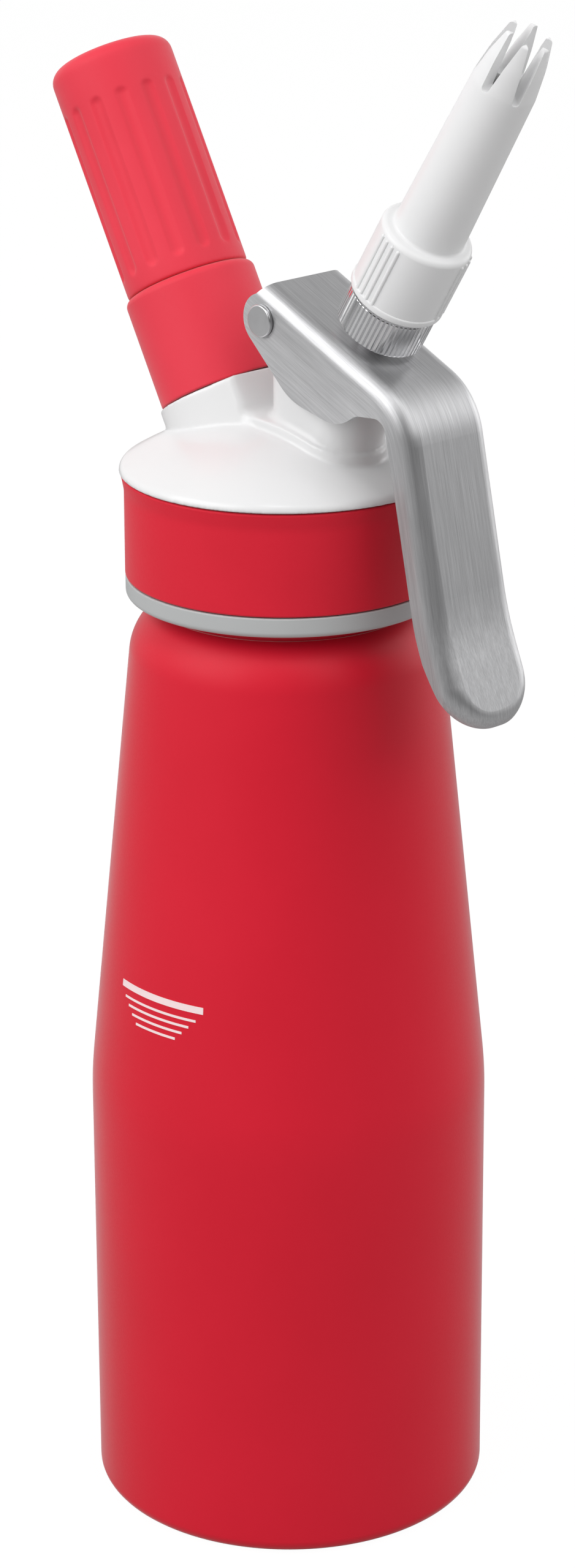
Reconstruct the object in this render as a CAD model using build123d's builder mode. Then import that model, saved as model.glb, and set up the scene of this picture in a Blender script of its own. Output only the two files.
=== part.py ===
from build123d import *
import os
from math import acos, asin, atan2, cos, degrees, radians, sin, sqrt, tan

# Whipped cream dispenser: an aluminium bottle, a screwed-on head with a gas charger port,
# and a lever-worked valve with a piping tip. Millimetres, +Z up, origin at the centre of the
# bottle's foot. The lever and the tip are on the +X side and the charger holder on the -X side.

# ---- fits -------------------------------------------------------------------------------
RUN_GAP = 0.05        # radial gap of a shaft that turns or slides in its hole
SEAT_GAP = 0.1        # gap between faces that meet but part in use
THREAD_GAP = 0.15     # radial gap of plain cylinders that stand for mating threads

# ---- bottle -----------------------------------------------------------------------------
BOTTLE_R = 40.0
BOTTLE_WALL = 1.6
BASE_WALL = 2.6
BASE_EDGE_R = 3.0
FOOT_WIDTH = 6.0      # ring that the bottle stands on
BASE_DISH = 1.4       # how far the middle of the base is dished in
STRAIGHT_H = 91.0     # cylindrical side
TAPER_H = 91.0        # conical side above it
SHOULDER_R = 12.0
NECK_R = 24.5
NECK_WALL = 2.0
NECK_H = 22.0
LIP_EDGE_R = 0.8

# ---- head -------------------------------------------------------------------------------
THREAD_DEPTH = 1.4    # room for the head's coarse thread around the neck
SKIRT_WALL = 3.7
BAND_T = 1.7          # silicone band around the skirt
BAND_FLARE = 0.65     # its lip under the rim
RIM_OVERHANG = 0.95   # the rim stands out past the band
RIM_EDGE_R = 2.0
RING_H = 7.05         # bare ring below the band
RING_EDGE_R = 2.9
HEAD_GAP = 1.0        # between the skirt and the bottle's shoulder
GASKET_T = 2.0
GASKET_WIDTH = 3.6
SEAT_TO_RIM = 1.3     # gasket seat up to the underside of the rim
CAVITY_H = 4.6        # hollow above the gasket seat
DOME_R = 60.0

# ---- charger holder, along its own tilted axis ---------------------------------------------
HOLDER_TILT = 28.9    # leans towards -X
PORT_X = -16.65       # centre of the port block's top face
PORT_RISE = 12.8      # the same point above the rim's underside
CHARGER_R = 9.0       # standard 8 g cartridge
CHARGER_LEN = 65.0
CHARGER_NECK_R = 4.3
CHARGER_NECK_LEN = 7.0
CHARGER_SHOULDER = 8.0
CHARGER_GAP = 0.35
CHARGER_STANDOFF = 0.5  # neck above the port's floor
PORT_WALL = 1.7
PORT_CUP_H = 12.0
PORT_FLANGE_R = 8.0
PORT_FLANGE_T = 1.6
PORT_SHANK_R = 5.5
PORT_SHANK_LEN = 20.0
PORT_GASKET_T = 1.9
PORT_GASKET_WIDTH = 2.1
PIERCER_R = 1.5
PIERCER_LEN = 4.3
PIERCER_POINT = 1.6
GAS_BORE_R = 1.0
GAS_HOLE_R = 0.8      # side hole under the check valve
CHECK_VALVE_T = 1.5
CHECK_VALVE_H = 4.0
HOLDER_SKIRT_WALL = 1.95
HOLDER_SKIRT_H = 22.2
HOLDER_TUBE_WALL = 1.25
HOLDER_END = 1.6
SLEEVE_T = 1.65
SLEEVE_END = 2.3
SLEEVE_EDGE_R = 3.0
FLUTES = 14
FLUTE_R = 2.1
FLUTE_DEPTH = 0.5
FLUTE_LOW = 2.6       # flutes start above the sleeve's lower edge
FLUTE_HIGH = 8.6      # and end below its top
FLUTE_PHASE = -14.9
BLOCK_LEDGE = 0.55    # port block stands out around the holder's skirt
BLOCK_FRONT = 13.2    # flat face towards the lever
BLOCK_CORNER = 9.0    # half width of that face
BLOCK_H = 15.0
BLOCK_EDGE_R = 1.1
BLOCK_CORNER_R = 2.0

# ---- lever ------------------------------------------------------------------------------
PIVOT_X = 5.0
PIVOT_RISE = 31.9     # pivot above the rim's underside
PIN_R = 2.2
PIN_HEAD_R = 3.15
PIN_HEAD_T = 1.0
LEVER_W = 21.0
LEVER_T = 1.5
FOLD_R = 3.3
PLATE_TILT = 24.3     # top plate falls towards +X
PLATE_H = 6.6         # top of the plate above the pivot
PLATE_BACK = 2.2      # plate behind the pivot
PLATE_LEN = 38.8      # from above the pivot to the corner of the bend
BEND_R = 15.0
HANDLE_TILT = 12.0
HANDLE_LEN = 42.2
FLARE_TILT = 22.5
FLARE_LEN = 20.2
FLARE_R = 60.0
END_R = 9.6
FLANGE_DEPTH = 6.4    # side flange along the handle
FLANGE_END = 6.0      # the same further down
FLANGE_CUT = 20.0     # last length of the handle, where the flange curves up to the fold
FLANGE_TIP = 1.6      # what is left of it at the tip
FLANGE_BOW = 0.9
EAR_R = 5.15
HEEL_REACH, HEEL_DROP = 7.5, 14.1       # corners of the side plate's lower edge from the pivot
LOBE_REACH, LOBE_DROP = 20.5, 17.0
SCALLOP_REACH, SCALLOP_DROP = 25.3, 13.8
BRIDGE_REACH, BRIDGE_DROP = 33.0, 13.1
LEVER_SLOT_R = 3.6    # hole in the plate around the stem
LEVER_SLOT_LEN = 2.0
LEVER_SLOT_AT = 17.9  # its middle from above the pivot

# ---- valve, along the nozzle axis; heights from the foot of the pivot's perpendicular --------
NOZZLE_TILT = 32.5    # leans towards +X
LEVER_ARM = 17.45     # pivot to the valve's axis
STEM_R = 3.0
STEM_BORE_R = 1.6
STEM_LOW = -23.5
STEM_HIGH = 21.0
STEM_HEAD_T = 1.2
STEM_PORT_R = 1.1
VALVE_SEAL_R = 4.8
VALVE_SEAL_T = 2.0
COLLAR_R = 4.5
COLLAR_T = 1.05
COLLAR_TOP = 6.85
GUIDE_R = 6.0
GUIDE_LOW = -20.2
GUIDE_FLANGE_R = 7.2
GUIDE_FLANGE_T = 1.0
SEAT_CHAMBER_R = 4.0
SEAT_CHAMBER_H = 3.2
SPRING_FLOOR = -7.0
SPRING_POCKET_R = 4.8
SPRING_R = 3.9
SPRING_WIRE_R = 0.42
SPRING_TURNS = 4.5
STEM_RING_R = 0.62
STEM_RING_AT = -11.0

# ---- tower that carries the lever and the valve -------------------------------------------
TOWER_HALF = 7.8
TOWER_REAR = 0.4      # rear and front of the tower at the rim's level
TOWER_FRONT = 22.2
TOWER_LEAN = 13.0     # its front leans towards +X
TOWER_TOP = 2.0       # sloping top above the pivot, along the nozzle axis
BOSS_R = 4.9
BOSS_SIDE = 0.2       # between the pivot boss and the lever's ears
BOSS_BEVEL = 2.0      # clears the rounded fold inside the lever
PLINTH_HALF = 9.1
PLINTH_FRONT = 15.4   # centre of the plinth's round front
PLINTH_H = 2.0
PLINTH_EDGE_R = 0.9

# ---- knurled adaptor and piping tip -------------------------------------------------------
KNURL_R = 8.6
KNURL_LOW = 11.4
KNURL_H = 8.5
KNURLS = 58
KNURL_DEPTH = 0.42
KNURL_CHAMFER = 0.7
SPIGOT_R = 7.3
SPIGOT_H = 12.1
ADAPTOR_BORE_R = 4.5
TIP_WASHER_T = 1.2
SOCKET_WALL = 1.55
SOCKET_H = 15.25
SOCKET_BEAD = 0.22
SOCKET_BEAD_H = 1.3
SOCKET_EDGE_R = 1.2
RIB_GROUPS = 3
RIBS = 4
RIB_PITCH = 10.0
RIB_R = 0.35
RIB_CENTRE = -92.0
TIP_FOOT_R = 6.95
TIP_WAIST_R = 6.15
TIP_END_R = 4.4
TIP_WALL = 1.3
TIP_TUBE_H = 34.6
TINES = 6
TINE_LEN = 10.8
TINE_EDGE_R = 0.5
SLOT_FOOT = 1.1
SLOT_MOUTH = 3.3
SLOT_PHASE = -23.0


def polar(centre, radius, angle):
    """Point of a circle in a plane, by its angle in degrees from the plane's first axis."""
    return (centre[0] + radius * cos(radians(angle)), centre[1] + radius * sin(radians(angle)))


def ahead(point, angle, length, side=0.0):
    """Point reached from another along a direction in degrees, then to the left of it."""
    return polar(polar(point, length, angle), side, angle + 90)


def crossing(p, angle_p, q, angle_q):
    """Where the line from p in one direction crosses the line from q in another."""
    u = polar((0, 0), 1, angle_p)
    v = polar((0, 0), 1, angle_q)
    t = ((q[0] - p[0]) * v[1] - (q[1] - p[1]) * v[0]) / (u[0] * v[1] - u[1] * v[0])
    return (p[0] + t * u[0], p[1] + t * u[1])


def ring(r_in, r_out, low, high):
    """Outline of a plain ring: inner and outer radius, lower and upper end."""
    return (r_in, low), (r_out, low), (r_out, high), (r_in, high)


def turned(plane, axis, *points, mode=Mode.ADD):
    """Turn a closed outline of (radius, height) points about an axis, in the open part."""
    with BuildSketch(plane) as profile:
        with BuildLine():
            Polyline(*points, close=True)
        make_face()
    revolve(profile.sketch, axis=axis, mode=mode)


os.makedirs("parts", exist_ok=True)
SIDE = Plane.XZ

# ---- radii and levels that follow from the sizes above -------------------------------------
skirt_in_r = NECK_R + THREAD_DEPTH
groove_r = skirt_in_r + SKIRT_WALL            # bottom of the band's groove
ring_r = groove_r + BAND_T
rim_r = ring_r + RIM_OVERHANG
taper_top_r = ring_r - 0.49
taper_a = degrees(atan2(BOTTLE_R - taper_top_r, TAPER_H))
shoulder_c = polar((taper_top_r, STRAIGHT_H + TAPER_H), -SHOULDER_R, taper_a)


def shoulder_z(r, skin=0.0):
    """Height of the bottle's round shoulder at a radius, less a skin inside it."""
    return shoulder_c[1] + sqrt((SHOULDER_R - skin) ** 2 - (r - shoulder_c[0]) ** 2)


neck_z = shoulder_z(NECK_R)
lip_z = neck_z + NECK_H
gasket_z = lip_z + SEAT_GAP
seat_z = gasket_z + GASKET_T
rim_z = seat_z + SEAT_TO_RIM
ceiling_z = seat_z + CAVITY_H
gasket_in_r = skirt_in_r - SEAT_GAP - GASKET_WIDTH
cavity_r = gasket_in_r - 1.7
ring_z = shoulder_z(ring_r - RING_EDGE_R) + HEAD_GAP
band_z = ring_z + RING_H
edge_c = (rim_r - RIM_EDGE_R, rim_z + 0.2)    # centre of the rim's rounded edge
dome_c = (0.0, edge_c[1] - sqrt((DOME_R - RIM_EDGE_R) ** 2 - edge_c[0] ** 2))
edge_a = degrees(atan2(edge_c[1] - dome_c[1], edge_c[0]))

# ---- the two tilted axes -------------------------------------------------------------------
holder_a = radians(HOLDER_TILT)
holder_o = Vector(PORT_X, 0, rim_z + PORT_RISE)
holder_up = Vector(-sin(holder_a), 0, cos(holder_a))
holder_out = Vector(cos(holder_a), 0, sin(holder_a))
HOLDER_AXIS = Axis(holder_o, holder_up)
HOLDER_SIDE = Plane(holder_o, x_dir=holder_out, z_dir=(0, -1, 0))

pivot = (PIVOT_X, rim_z + PIVOT_RISE)
nozzle_a = radians(NOZZLE_TILT)
nozzle_up = Vector(sin(nozzle_a), 0, cos(nozzle_a))
nozzle_out = Vector(cos(nozzle_a), 0, -sin(nozzle_a))
valve_o = Vector(pivot[0], 0, pivot[1]) + nozzle_out * LEVER_ARM
VALVE_AXIS = Axis(valve_o, nozzle_up)
VALVE_SIDE = Plane(valve_o, x_dir=nozzle_out, z_dir=(0, -1, 0))


def holder_plane(h):
    """Plane across the charger holder's axis, h above the port block's top face."""
    return Plane(holder_o + holder_up * h, x_dir=holder_out, z_dir=holder_up)


def valve_plane(d):
    """Plane across the valve's axis, at a height along it."""
    return Plane(valve_o + nozzle_up * d, x_dir=nozzle_out, z_dir=nozzle_up)


def valve_radial(angle, d):
    """Plane through the valve's axis that faces an angle about it, at a height along it."""
    out = nozzle_out * cos(radians(angle)) + Vector(0, 1, 0) * sin(radians(angle))
    return Plane(valve_o + nozzle_up * d, x_dir=nozzle_up.cross(out), z_dir=out)


# ---- bottle: drawn aluminium shell with a dished base, a long taper and an open neck --------
neck_in_r = NECK_R - NECK_WALL
foot_in = (BOTTLE_R - FOOT_WIDTH, 0)
inner_foot = (BOTTLE_R - BOTTLE_WALL, BASE_DISH + BASE_WALL)
inner_taper = polar(shoulder_c, SHOULDER_R - BOTTLE_WALL, taper_a)
inner_neck = (neck_in_r, shoulder_z(neck_in_r, BOTTLE_WALL))

with BuildPart() as bottle:
    with BuildSketch(SIDE):
        with BuildLine():
            Polyline((0, BASE_DISH), (foot_in[0] - 2 * BASE_DISH, BASE_DISH), foot_in,
                     (BOTTLE_R - BASE_EDGE_R, 0))
            ThreePointArc((BOTTLE_R - BASE_EDGE_R, 0),
                          polar((BOTTLE_R - BASE_EDGE_R, BASE_EDGE_R), BASE_EDGE_R, -45),
                          (BOTTLE_R, BASE_EDGE_R))
            Polyline((BOTTLE_R, BASE_EDGE_R), (BOTTLE_R, STRAIGHT_H),
                     (taper_top_r, STRAIGHT_H + TAPER_H))
            ThreePointArc((taper_top_r, STRAIGHT_H + TAPER_H), polar(shoulder_c, SHOULDER_R, 35),
                          (NECK_R, neck_z))
            Polyline((NECK_R, neck_z), (NECK_R, lip_z - LIP_EDGE_R), (NECK_R - LIP_EDGE_R, lip_z),
                     (neck_in_r, lip_z), inner_neck)
            ThreePointArc(inner_neck, polar(shoulder_c, SHOULDER_R - BOTTLE_WALL, 35), inner_taper)
            Polyline(inner_taper, (BOTTLE_R - BOTTLE_WALL, STRAIGHT_H), inner_foot,
                     (0, inner_foot[1]), (0, BASE_DISH))
        make_face()
    revolve(axis=Axis.Z)
bottle.part.label = "bottle"
export_step(bottle.part, "parts/bottle.step")

# ---- head gasket: flat silicone ring on the bottle's lip -------------------------------------
with BuildPart() as head_gasket:
    turned(SIDE, Axis.Z, *ring(gasket_in_r, skirt_in_r - SEAT_GAP, gasket_z, seat_z))
head_gasket.part.label = "head_gasket"
export_step(head_gasket.part, "parts/head_gasket.step")

# ---- grip band: red silicone band in the skirt's groove ---------------------------------------
flare_z = rim_z - 5 * BAND_FLARE
with BuildPart() as grip_band:
    with BuildSketch(SIDE):
        with BuildLine():
            Polyline((ring_r + BAND_FLARE, rim_z), (groove_r, rim_z), (groove_r, band_z),
                     (ring_r, band_z), (ring_r, flare_z))
            ThreePointArc((ring_r, flare_z), (ring_r + 0.3 * BAND_FLARE, rim_z - 2 * BAND_FLARE),
                          (ring_r + BAND_FLARE, rim_z))
        make_face()
    revolve(axis=Axis.Z)
grip_band.part.label = "grip_band"
export_step(grip_band.part, "parts/grip_band.step")

# ---- head cap: one white moulding; its port block, plinth and tower are drawn first ------------
cup_r = CHARGER_R + CHARGER_GAP + PORT_WALL
holder_skirt_r = cup_r + THREAD_GAP + HOLDER_SKIRT_WALL
block_r = holder_skirt_r + BLOCK_LEDGE
block_corner = (BLOCK_FRONT, BLOCK_CORNER)
corner_reach = sqrt(BLOCK_FRONT ** 2 + BLOCK_CORNER ** 2)
touch_a = degrees(atan2(BLOCK_CORNER, BLOCK_FRONT) + acos(block_r / corner_reach))
touch = polar((0, 0), block_r, touch_a)

with BuildPart() as port_block:
    with BuildSketch(holder_plane(0)):
        Circle(block_r)
        with BuildLine():
            Polyline(block_corner, touch, (0, 0), (touch[0], -touch[1]),
                     (BLOCK_FRONT, -BLOCK_CORNER), close=True)
        make_face()
    extrude(amount=-BLOCK_H)
    upright = port_block.edges().filter_by(lambda e: abs((e % 0.5).dot(holder_up)) > 0.99)
    fillet(upright.sort_by(lambda e: (e @ 0.5 - holder_o).dot(holder_out))[-2:], BLOCK_CORNER_R)
    fillet(port_block.faces().sort_by(HOLDER_AXIS)[-1].edges(), BLOCK_EDGE_R)

with BuildPart() as plinth:
    with BuildSketch(Plane.XY.offset(seat_z)):
        with Locations((PLINTH_FRONT, 0)):
            Circle(PLINTH_HALF)
        with Locations((PLINTH_FRONT / 2 - 3, 0)):
            Rectangle(PLINTH_FRONT + 6, 2 * PLINTH_HALF)
    extrude(amount=4 * CAVITY_H)
    with BuildSketch(SIDE) as raised:
        with BuildLine():
            ThreePointArc((0, dome_c[1] + DOME_R + PLINTH_H), polar(dome_c, DOME_R + PLINTH_H, 75),
                          polar(dome_c, DOME_R + PLINTH_H, 60))
            Polyline(polar(dome_c, DOME_R + PLINTH_H, 60), dome_c, (0, dome_c[1] + DOME_R + PLINTH_H))
        make_face()
    revolve(raised.sketch, axis=Axis.Z, mode=Mode.INTERSECT)
    fillet(plinth.faces().sort_by(Axis.Z)[-1].edges(), PLINTH_EDGE_R)

tower_high_z = pivot[1] + 6
lean = tan(radians(TOWER_LEAN))
foot_front = TOWER_FRONT + (seat_z - rim_z) * lean
high_front = TOWER_FRONT + (tower_high_z - rim_z) * lean
above_pivot = (pivot[0] + nozzle_up.X * TOWER_TOP, pivot[1] + nozzle_up.Z * TOWER_TOP)
side_half = LEVER_W / 2 - LEVER_T              # inner face of the lever's ears
boss_half = side_half - BOSS_SIDE
PIN_AXIS = Axis((pivot[0], 0, pivot[1]), (0, 1, 0))
PIN_SIDE = Plane((pivot[0], 0, pivot[1]), x_dir=(1, 0, 0), z_dir=(0, 0, -1))

with BuildPart() as tower:
    with BuildSketch(Plane.XY.offset(seat_z)):
        with Locations(((TOWER_REAR + foot_front) / 2, 0)):
            SlotOverall(foot_front - TOWER_REAR, 2 * TOWER_HALF)
    with BuildSketch(Plane.XY.offset(tower_high_z)):
        with Locations(((TOWER_REAR + high_front) / 2, 0)):
            SlotOverall(high_front - TOWER_REAR, 2 * TOWER_HALF)
    loft()
    with BuildSketch(SIDE) as keep:
        with BuildLine():
            Polyline((TOWER_REAR - 5, seat_z), (pivot[0] - BOSS_R, pivot[1]), above_pivot,
                     ahead(above_pivot, -NOZZLE_TILT, 40), (high_front + 8, seat_z), close=True)
        make_face()
    extrude(keep.sketch, amount=20, both=True, mode=Mode.INTERSECT)
    turned(PIN_SIDE, PIN_AXIS, (0, -boss_half), (BOSS_R - BOSS_BEVEL, -boss_half),
           (BOSS_R, BOSS_BEVEL - boss_half), (BOSS_R, boss_half - BOSS_BEVEL),
           (BOSS_R - BOSS_BEVEL, boss_half), (0, boss_half))

with BuildPart() as head_cap:
    with BuildSketch(SIDE):
        with BuildLine():
            ThreePointArc((ring_r - RING_EDGE_R, ring_z),
                          polar((ring_r - RING_EDGE_R, ring_z + RING_EDGE_R), RING_EDGE_R, -45),
                          (ring_r, ring_z + RING_EDGE_R))
            Polyline((ring_r, ring_z + RING_EDGE_R), (ring_r, band_z), (groove_r, band_z),
                     (groove_r, rim_z), (edge_c[0] + sqrt(RIM_EDGE_R ** 2 - 0.2 ** 2), rim_z))
            ThreePointArc((edge_c[0] + sqrt(RIM_EDGE_R ** 2 - 0.2 ** 2), rim_z),
                          polar(edge_c, RIM_EDGE_R, edge_a / 2), polar(edge_c, RIM_EDGE_R, edge_a))
            ThreePointArc(polar(edge_c, RIM_EDGE_R, edge_a), polar(dome_c, DOME_R, (edge_a + 90) / 2),
                          (0, dome_c[1] + DOME_R))
            Polyline((0, dome_c[1] + DOME_R), (0, ring_z), (ring_r - RING_EDGE_R, ring_z))
        make_face()
    revolve(axis=Axis.Z)
    add(port_block.part)
    add(plinth.part)
    add(tower.part)
    turned(SIDE, Axis.Z, (0, ring_z - 5), (ring_r - RING_EDGE_R, ring_z - 5), (ring_r - RING_EDGE_R, ring_z),
           (skirt_in_r, shoulder_z(skirt_in_r) + HEAD_GAP), (skirt_in_r, seat_z), (0, seat_z),
           mode=Mode.SUBTRACT)
    turned(SIDE, Axis.Z, *ring(0, cavity_r, seat_z - 1, ceiling_z), mode=Mode.SUBTRACT)
    turned(HOLDER_SIDE, HOLDER_AXIS, *ring(0, PORT_SHANK_R, -PORT_SHANK_LEN, 1), mode=Mode.SUBTRACT)
    turned(HOLDER_SIDE, HOLDER_AXIS, *ring(0, PORT_FLANGE_R, -PORT_FLANGE_T, 1), mode=Mode.SUBTRACT)
    turned(VALVE_SIDE, VALVE_AXIS, *ring(0, GUIDE_R, STEM_LOW - 8, TOWER_TOP + 5), mode=Mode.SUBTRACT)
    with BuildSketch(SIDE) as pin_hole:
        with Locations(pivot):
            Circle(PIN_R)
    extrude(pin_hole.sketch, amount=LEVER_W, both=True, mode=Mode.SUBTRACT)
head_cap.part.label = "head_cap"
export_step(head_cap.part, "parts/head_cap.step")

# ---- charge port: metal cup and shank that carries the gas down into the head ----------------
floor_in_r = CHARGER_NECK_R + SEAT_GAP
gasket_out_r = floor_in_r + PORT_GASKET_WIDTH
cup_in_r = CHARGER_R + CHARGER_GAP
check_h = -PORT_SHANK_LEN + 0.5

with BuildPart() as charge_port:
    turned(HOLDER_SIDE, HOLDER_AXIS, (0, -PORT_SHANK_LEN), (PORT_SHANK_R, -PORT_SHANK_LEN),
           (PORT_SHANK_R, -PORT_FLANGE_T), (PORT_FLANGE_R, -PORT_FLANGE_T), (PORT_FLANGE_R, 0),
           (cup_r, 0), (cup_r, PORT_CUP_H), (cup_in_r, PORT_CUP_H), (cup_in_r, PORT_GASKET_T + SEAT_GAP),
           (gasket_out_r + SEAT_GAP, PORT_GASKET_T + SEAT_GAP), (gasket_out_r + SEAT_GAP, 0), (0, 0))
    turned(HOLDER_SIDE, HOLDER_AXIS, *ring(0, PIERCER_R, -PIERCER_LEN, 1), mode=Mode.SUBTRACT)
    turned(HOLDER_SIDE, HOLDER_AXIS, *ring(0, GAS_BORE_R, check_h + 1, 0), mode=Mode.SUBTRACT)
    with BuildSketch(Plane(holder_o + holder_up * (check_h + CHECK_VALVE_H / 2), z_dir=(0, 1, 0))):
        Circle(GAS_HOLE_R)
    extrude(amount=PORT_SHANK_R + 1, both=True, mode=Mode.SUBTRACT)
charge_port.part.label = "charge_port"
export_step(charge_port.part, "parts/charge_port.step")

# ---- piercing pin: hollow needle in the middle of the port -----------------------------------
with BuildPart() as piercing_pin:
    tip_h = CHARGER_STANDOFF - 0.2
    turned(HOLDER_SIDE, HOLDER_AXIS, (PIERCER_R / 3, -PIERCER_LEN), (PIERCER_R, -PIERCER_LEN),
           (PIERCER_R, tip_h - PIERCER_POINT), (PIERCER_R / 3 + 0.1, tip_h), (PIERCER_R / 3, tip_h))
piercing_pin.part.label = "piercing_pin"
export_step(piercing_pin.part, "parts/piercing_pin.step")

# ---- port gasket: ring that seals around the charger's neck -----------------------------------
with BuildPart() as port_gasket:
    turned(HOLDER_SIDE, HOLDER_AXIS, *ring(floor_in_r, gasket_out_r, 0, PORT_GASKET_T))
port_gasket.part.label = "port_gasket"
export_step(port_gasket.part, "parts/port_gasket.step")

# ---- check valve: rubber sleeve over the side hole of the shank -------------------------------
with BuildPart() as check_valve:
    turned(HOLDER_SIDE, HOLDER_AXIS,
           *ring(PORT_SHANK_R, PORT_SHANK_R + CHECK_VALVE_T, check_h, check_h + CHECK_VALVE_H))
check_valve.part.label = "check_valve"
export_step(check_valve.part, "parts/check_valve.step")

# ---- charger holder: skirt that screws over the cup, and the tube for the charger --------------
skirt_low = CHARGER_STANDOFF - 0.2
skirt_high = skirt_low + HOLDER_SKIRT_H
charger_high = CHARGER_STANDOFF + CHARGER_LEN
tube_in_r = CHARGER_R + CHARGER_GAP
tube_r = tube_in_r + HOLDER_TUBE_WALL
tube_high = charger_high + CHARGER_GAP + HOLDER_END
thread_high = PORT_CUP_H + 1.5

with BuildPart() as charger_holder:
    turned(HOLDER_SIDE, HOLDER_AXIS, (cup_r + THREAD_GAP, skirt_low), (holder_skirt_r - 0.8, skirt_low),
           (holder_skirt_r, skirt_low + 0.8), (holder_skirt_r, skirt_high - 1.2),
           (holder_skirt_r - 1.2, skirt_high), (tube_r, skirt_high), (tube_r, tube_high), (0, tube_high),
           (0, charger_high + CHARGER_GAP), (tube_in_r, charger_high + CHARGER_GAP),
           (tube_in_r, thread_high), (cup_r + THREAD_GAP, thread_high))
charger_holder.part.label = "charger_holder"
export_step(charger_holder.part, "parts/charger_holder.step")

# ---- holder sleeve: fluted soft grip over the tube --------------------------------------------
sleeve_low = skirt_high + RUN_GAP
sleeve_high = tube_high + SLEEVE_END
sleeve_r = tube_r + SLEEVE_T
flute_at = sleeve_r + FLUTE_R - FLUTE_DEPTH
flute_low = sleeve_low + FLUTE_LOW + FLUTE_R
flute_high = sleeve_high - FLUTE_HIGH - FLUTE_R

with BuildPart() as holder_sleeve:
    with BuildSketch(holder_plane(sleeve_low)):
        Circle(sleeve_r)
    extrude(amount=sleeve_high - sleeve_low)
    fillet(holder_sleeve.faces().sort_by(HOLDER_AXIS)[-1].edges(), SLEEVE_EDGE_R)
    turned(HOLDER_SIDE, HOLDER_AXIS, *ring(0, tube_r, sleeve_low - 1, tube_high), mode=Mode.SUBTRACT)
    with BuildSketch(holder_plane(flute_low)):
        with PolarLocations(flute_at, FLUTES, start_angle=FLUTE_PHASE):
            Circle(FLUTE_R)
    extrude(amount=flute_high - flute_low, mode=Mode.SUBTRACT)
    with Locations(holder_plane(flute_low), holder_plane(flute_high)):
        with PolarLocations(flute_at, FLUTES, start_angle=FLUTE_PHASE):
            Sphere(FLUTE_R, mode=Mode.SUBTRACT)
holder_sleeve.part.label = "holder_sleeve"
export_step(holder_sleeve.part, "parts/holder_sleeve.step")

# ---- gas charger: round-ended steel cartridge, neck down ---------------------------------------
neck_high = CHARGER_STANDOFF + CHARGER_NECK_LEN
body_low = neck_high + CHARGER_SHOULDER
with BuildPart() as gas_charger:
    with BuildSketch(HOLDER_SIDE) as charger_profile:
        with BuildLine():
            Polyline((0, charger_high), (0, CHARGER_STANDOFF), (CHARGER_NECK_R - 0.6, CHARGER_STANDOFF),
                     (CHARGER_NECK_R, CHARGER_STANDOFF + 0.6), (CHARGER_NECK_R, neck_high))
            Spline((CHARGER_NECK_R, neck_high), (CHARGER_R, body_low), tangents=((0, 1), (0, 1)))
            Line((CHARGER_R, body_low), (CHARGER_R, charger_high - CHARGER_R))
            ThreePointArc((CHARGER_R, charger_high - CHARGER_R),
                          polar((0, charger_high - CHARGER_R), CHARGER_R, 45), (0, charger_high))
        make_face()
    revolve(charger_profile.sketch, axis=HOLDER_AXIS)
gas_charger.part.label = "gas_charger"
export_step(gas_charger.part, "parts/gas_charger.step")

# ---- lever: folded steel channel; corners of its outer line in the side view -------------------
plate_foot = ahead(pivot, -PLATE_TILT, 0, PLATE_H)
plate_back = ahead(plate_foot, -PLATE_TILT, -PLATE_BACK)
plate_bend = ahead(plate_foot, -PLATE_TILT, PLATE_LEN)
handle_a = -90 + HANDLE_TILT
flare_a = -90 + FLARE_TILT
handle_low = ahead(plate_bend, handle_a, HANDLE_LEN)
handle_end = ahead(handle_low, flare_a, FLARE_LEN)

heel = (pivot[0] + HEEL_REACH, pivot[1] - HEEL_DROP)
lobe = (pivot[0] + LOBE_REACH, pivot[1] - LOBE_DROP)
scallop = (pivot[0] + SCALLOP_REACH, pivot[1] - SCALLOP_DROP)
bridge = (pivot[0] + BRIDGE_REACH, pivot[1] - BRIDGE_DROP)
flange_top = ahead(plate_bend, handle_a, 3, -FLANGE_DEPTH)
flange_low = ahead(handle_low, (handle_a + flare_a) / 2, 0, -FLANGE_DEPTH + 0.5)
flange_end = ahead(handle_end, flare_a, 0, -FLANGE_END)
cut_low = ahead(handle_end, flare_a, 0, -FLANGE_TIP)
cut_high = ahead(handle_end, flare_a, -FLANGE_CUT, -FLANGE_DEPTH)
cut_a = degrees(atan2(cut_low[1] - cut_high[1], cut_low[0] - cut_high[0]))
cut_mid = ahead(((cut_low[0] + cut_high[0]) / 2, (cut_low[1] + cut_high[1]) / 2), cut_a, 0, -FLANGE_BOW)


def outer_line(inset):
    """Corners of the lever's outer line, moved inwards by an inset at the plate and the tip."""
    corner = crossing(ahead(plate_back, -PLATE_TILT, 0, -inset), -PLATE_TILT,
                      ahead(handle_low, handle_a, 0, -inset), handle_a)
    low = crossing(corner, handle_a, ahead(handle_end, flare_a, 0, -inset), flare_a)
    return corner, low, ahead(handle_end, flare_a, -inset, -inset)


def fold_rim(part, half, end_r, fold_r, path, end):
    """Round a lever-shaped block in the open part as pressed sheet: first the tip, then the rim."""
    tip = part.edges().filter_by(lambda e: abs((e @ 0.5).Y) > half - 0.01
                                 and abs((e % 0.5).dot(flare_in)) > 0.999
                                 and abs((e @ 0.5 - Vector(end[0], 0, end[1])).dot(flare_on)) < 0.01)
    fillet(tip, end_r)

    def on_rim(e):
        mid = e @ 0.5
        near_path = path.distance_to(Vector(mid.X, 0, mid.Z)) < 0.02
        at_tip = abs((mid - Vector(end[0], 0, end[1])).dot(flare_on)) < 0.01
        return near_path and (abs(mid.Y) > half / 2 or at_tip)
    fillet(part.edges().filter_by(on_rim), fold_r)


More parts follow.
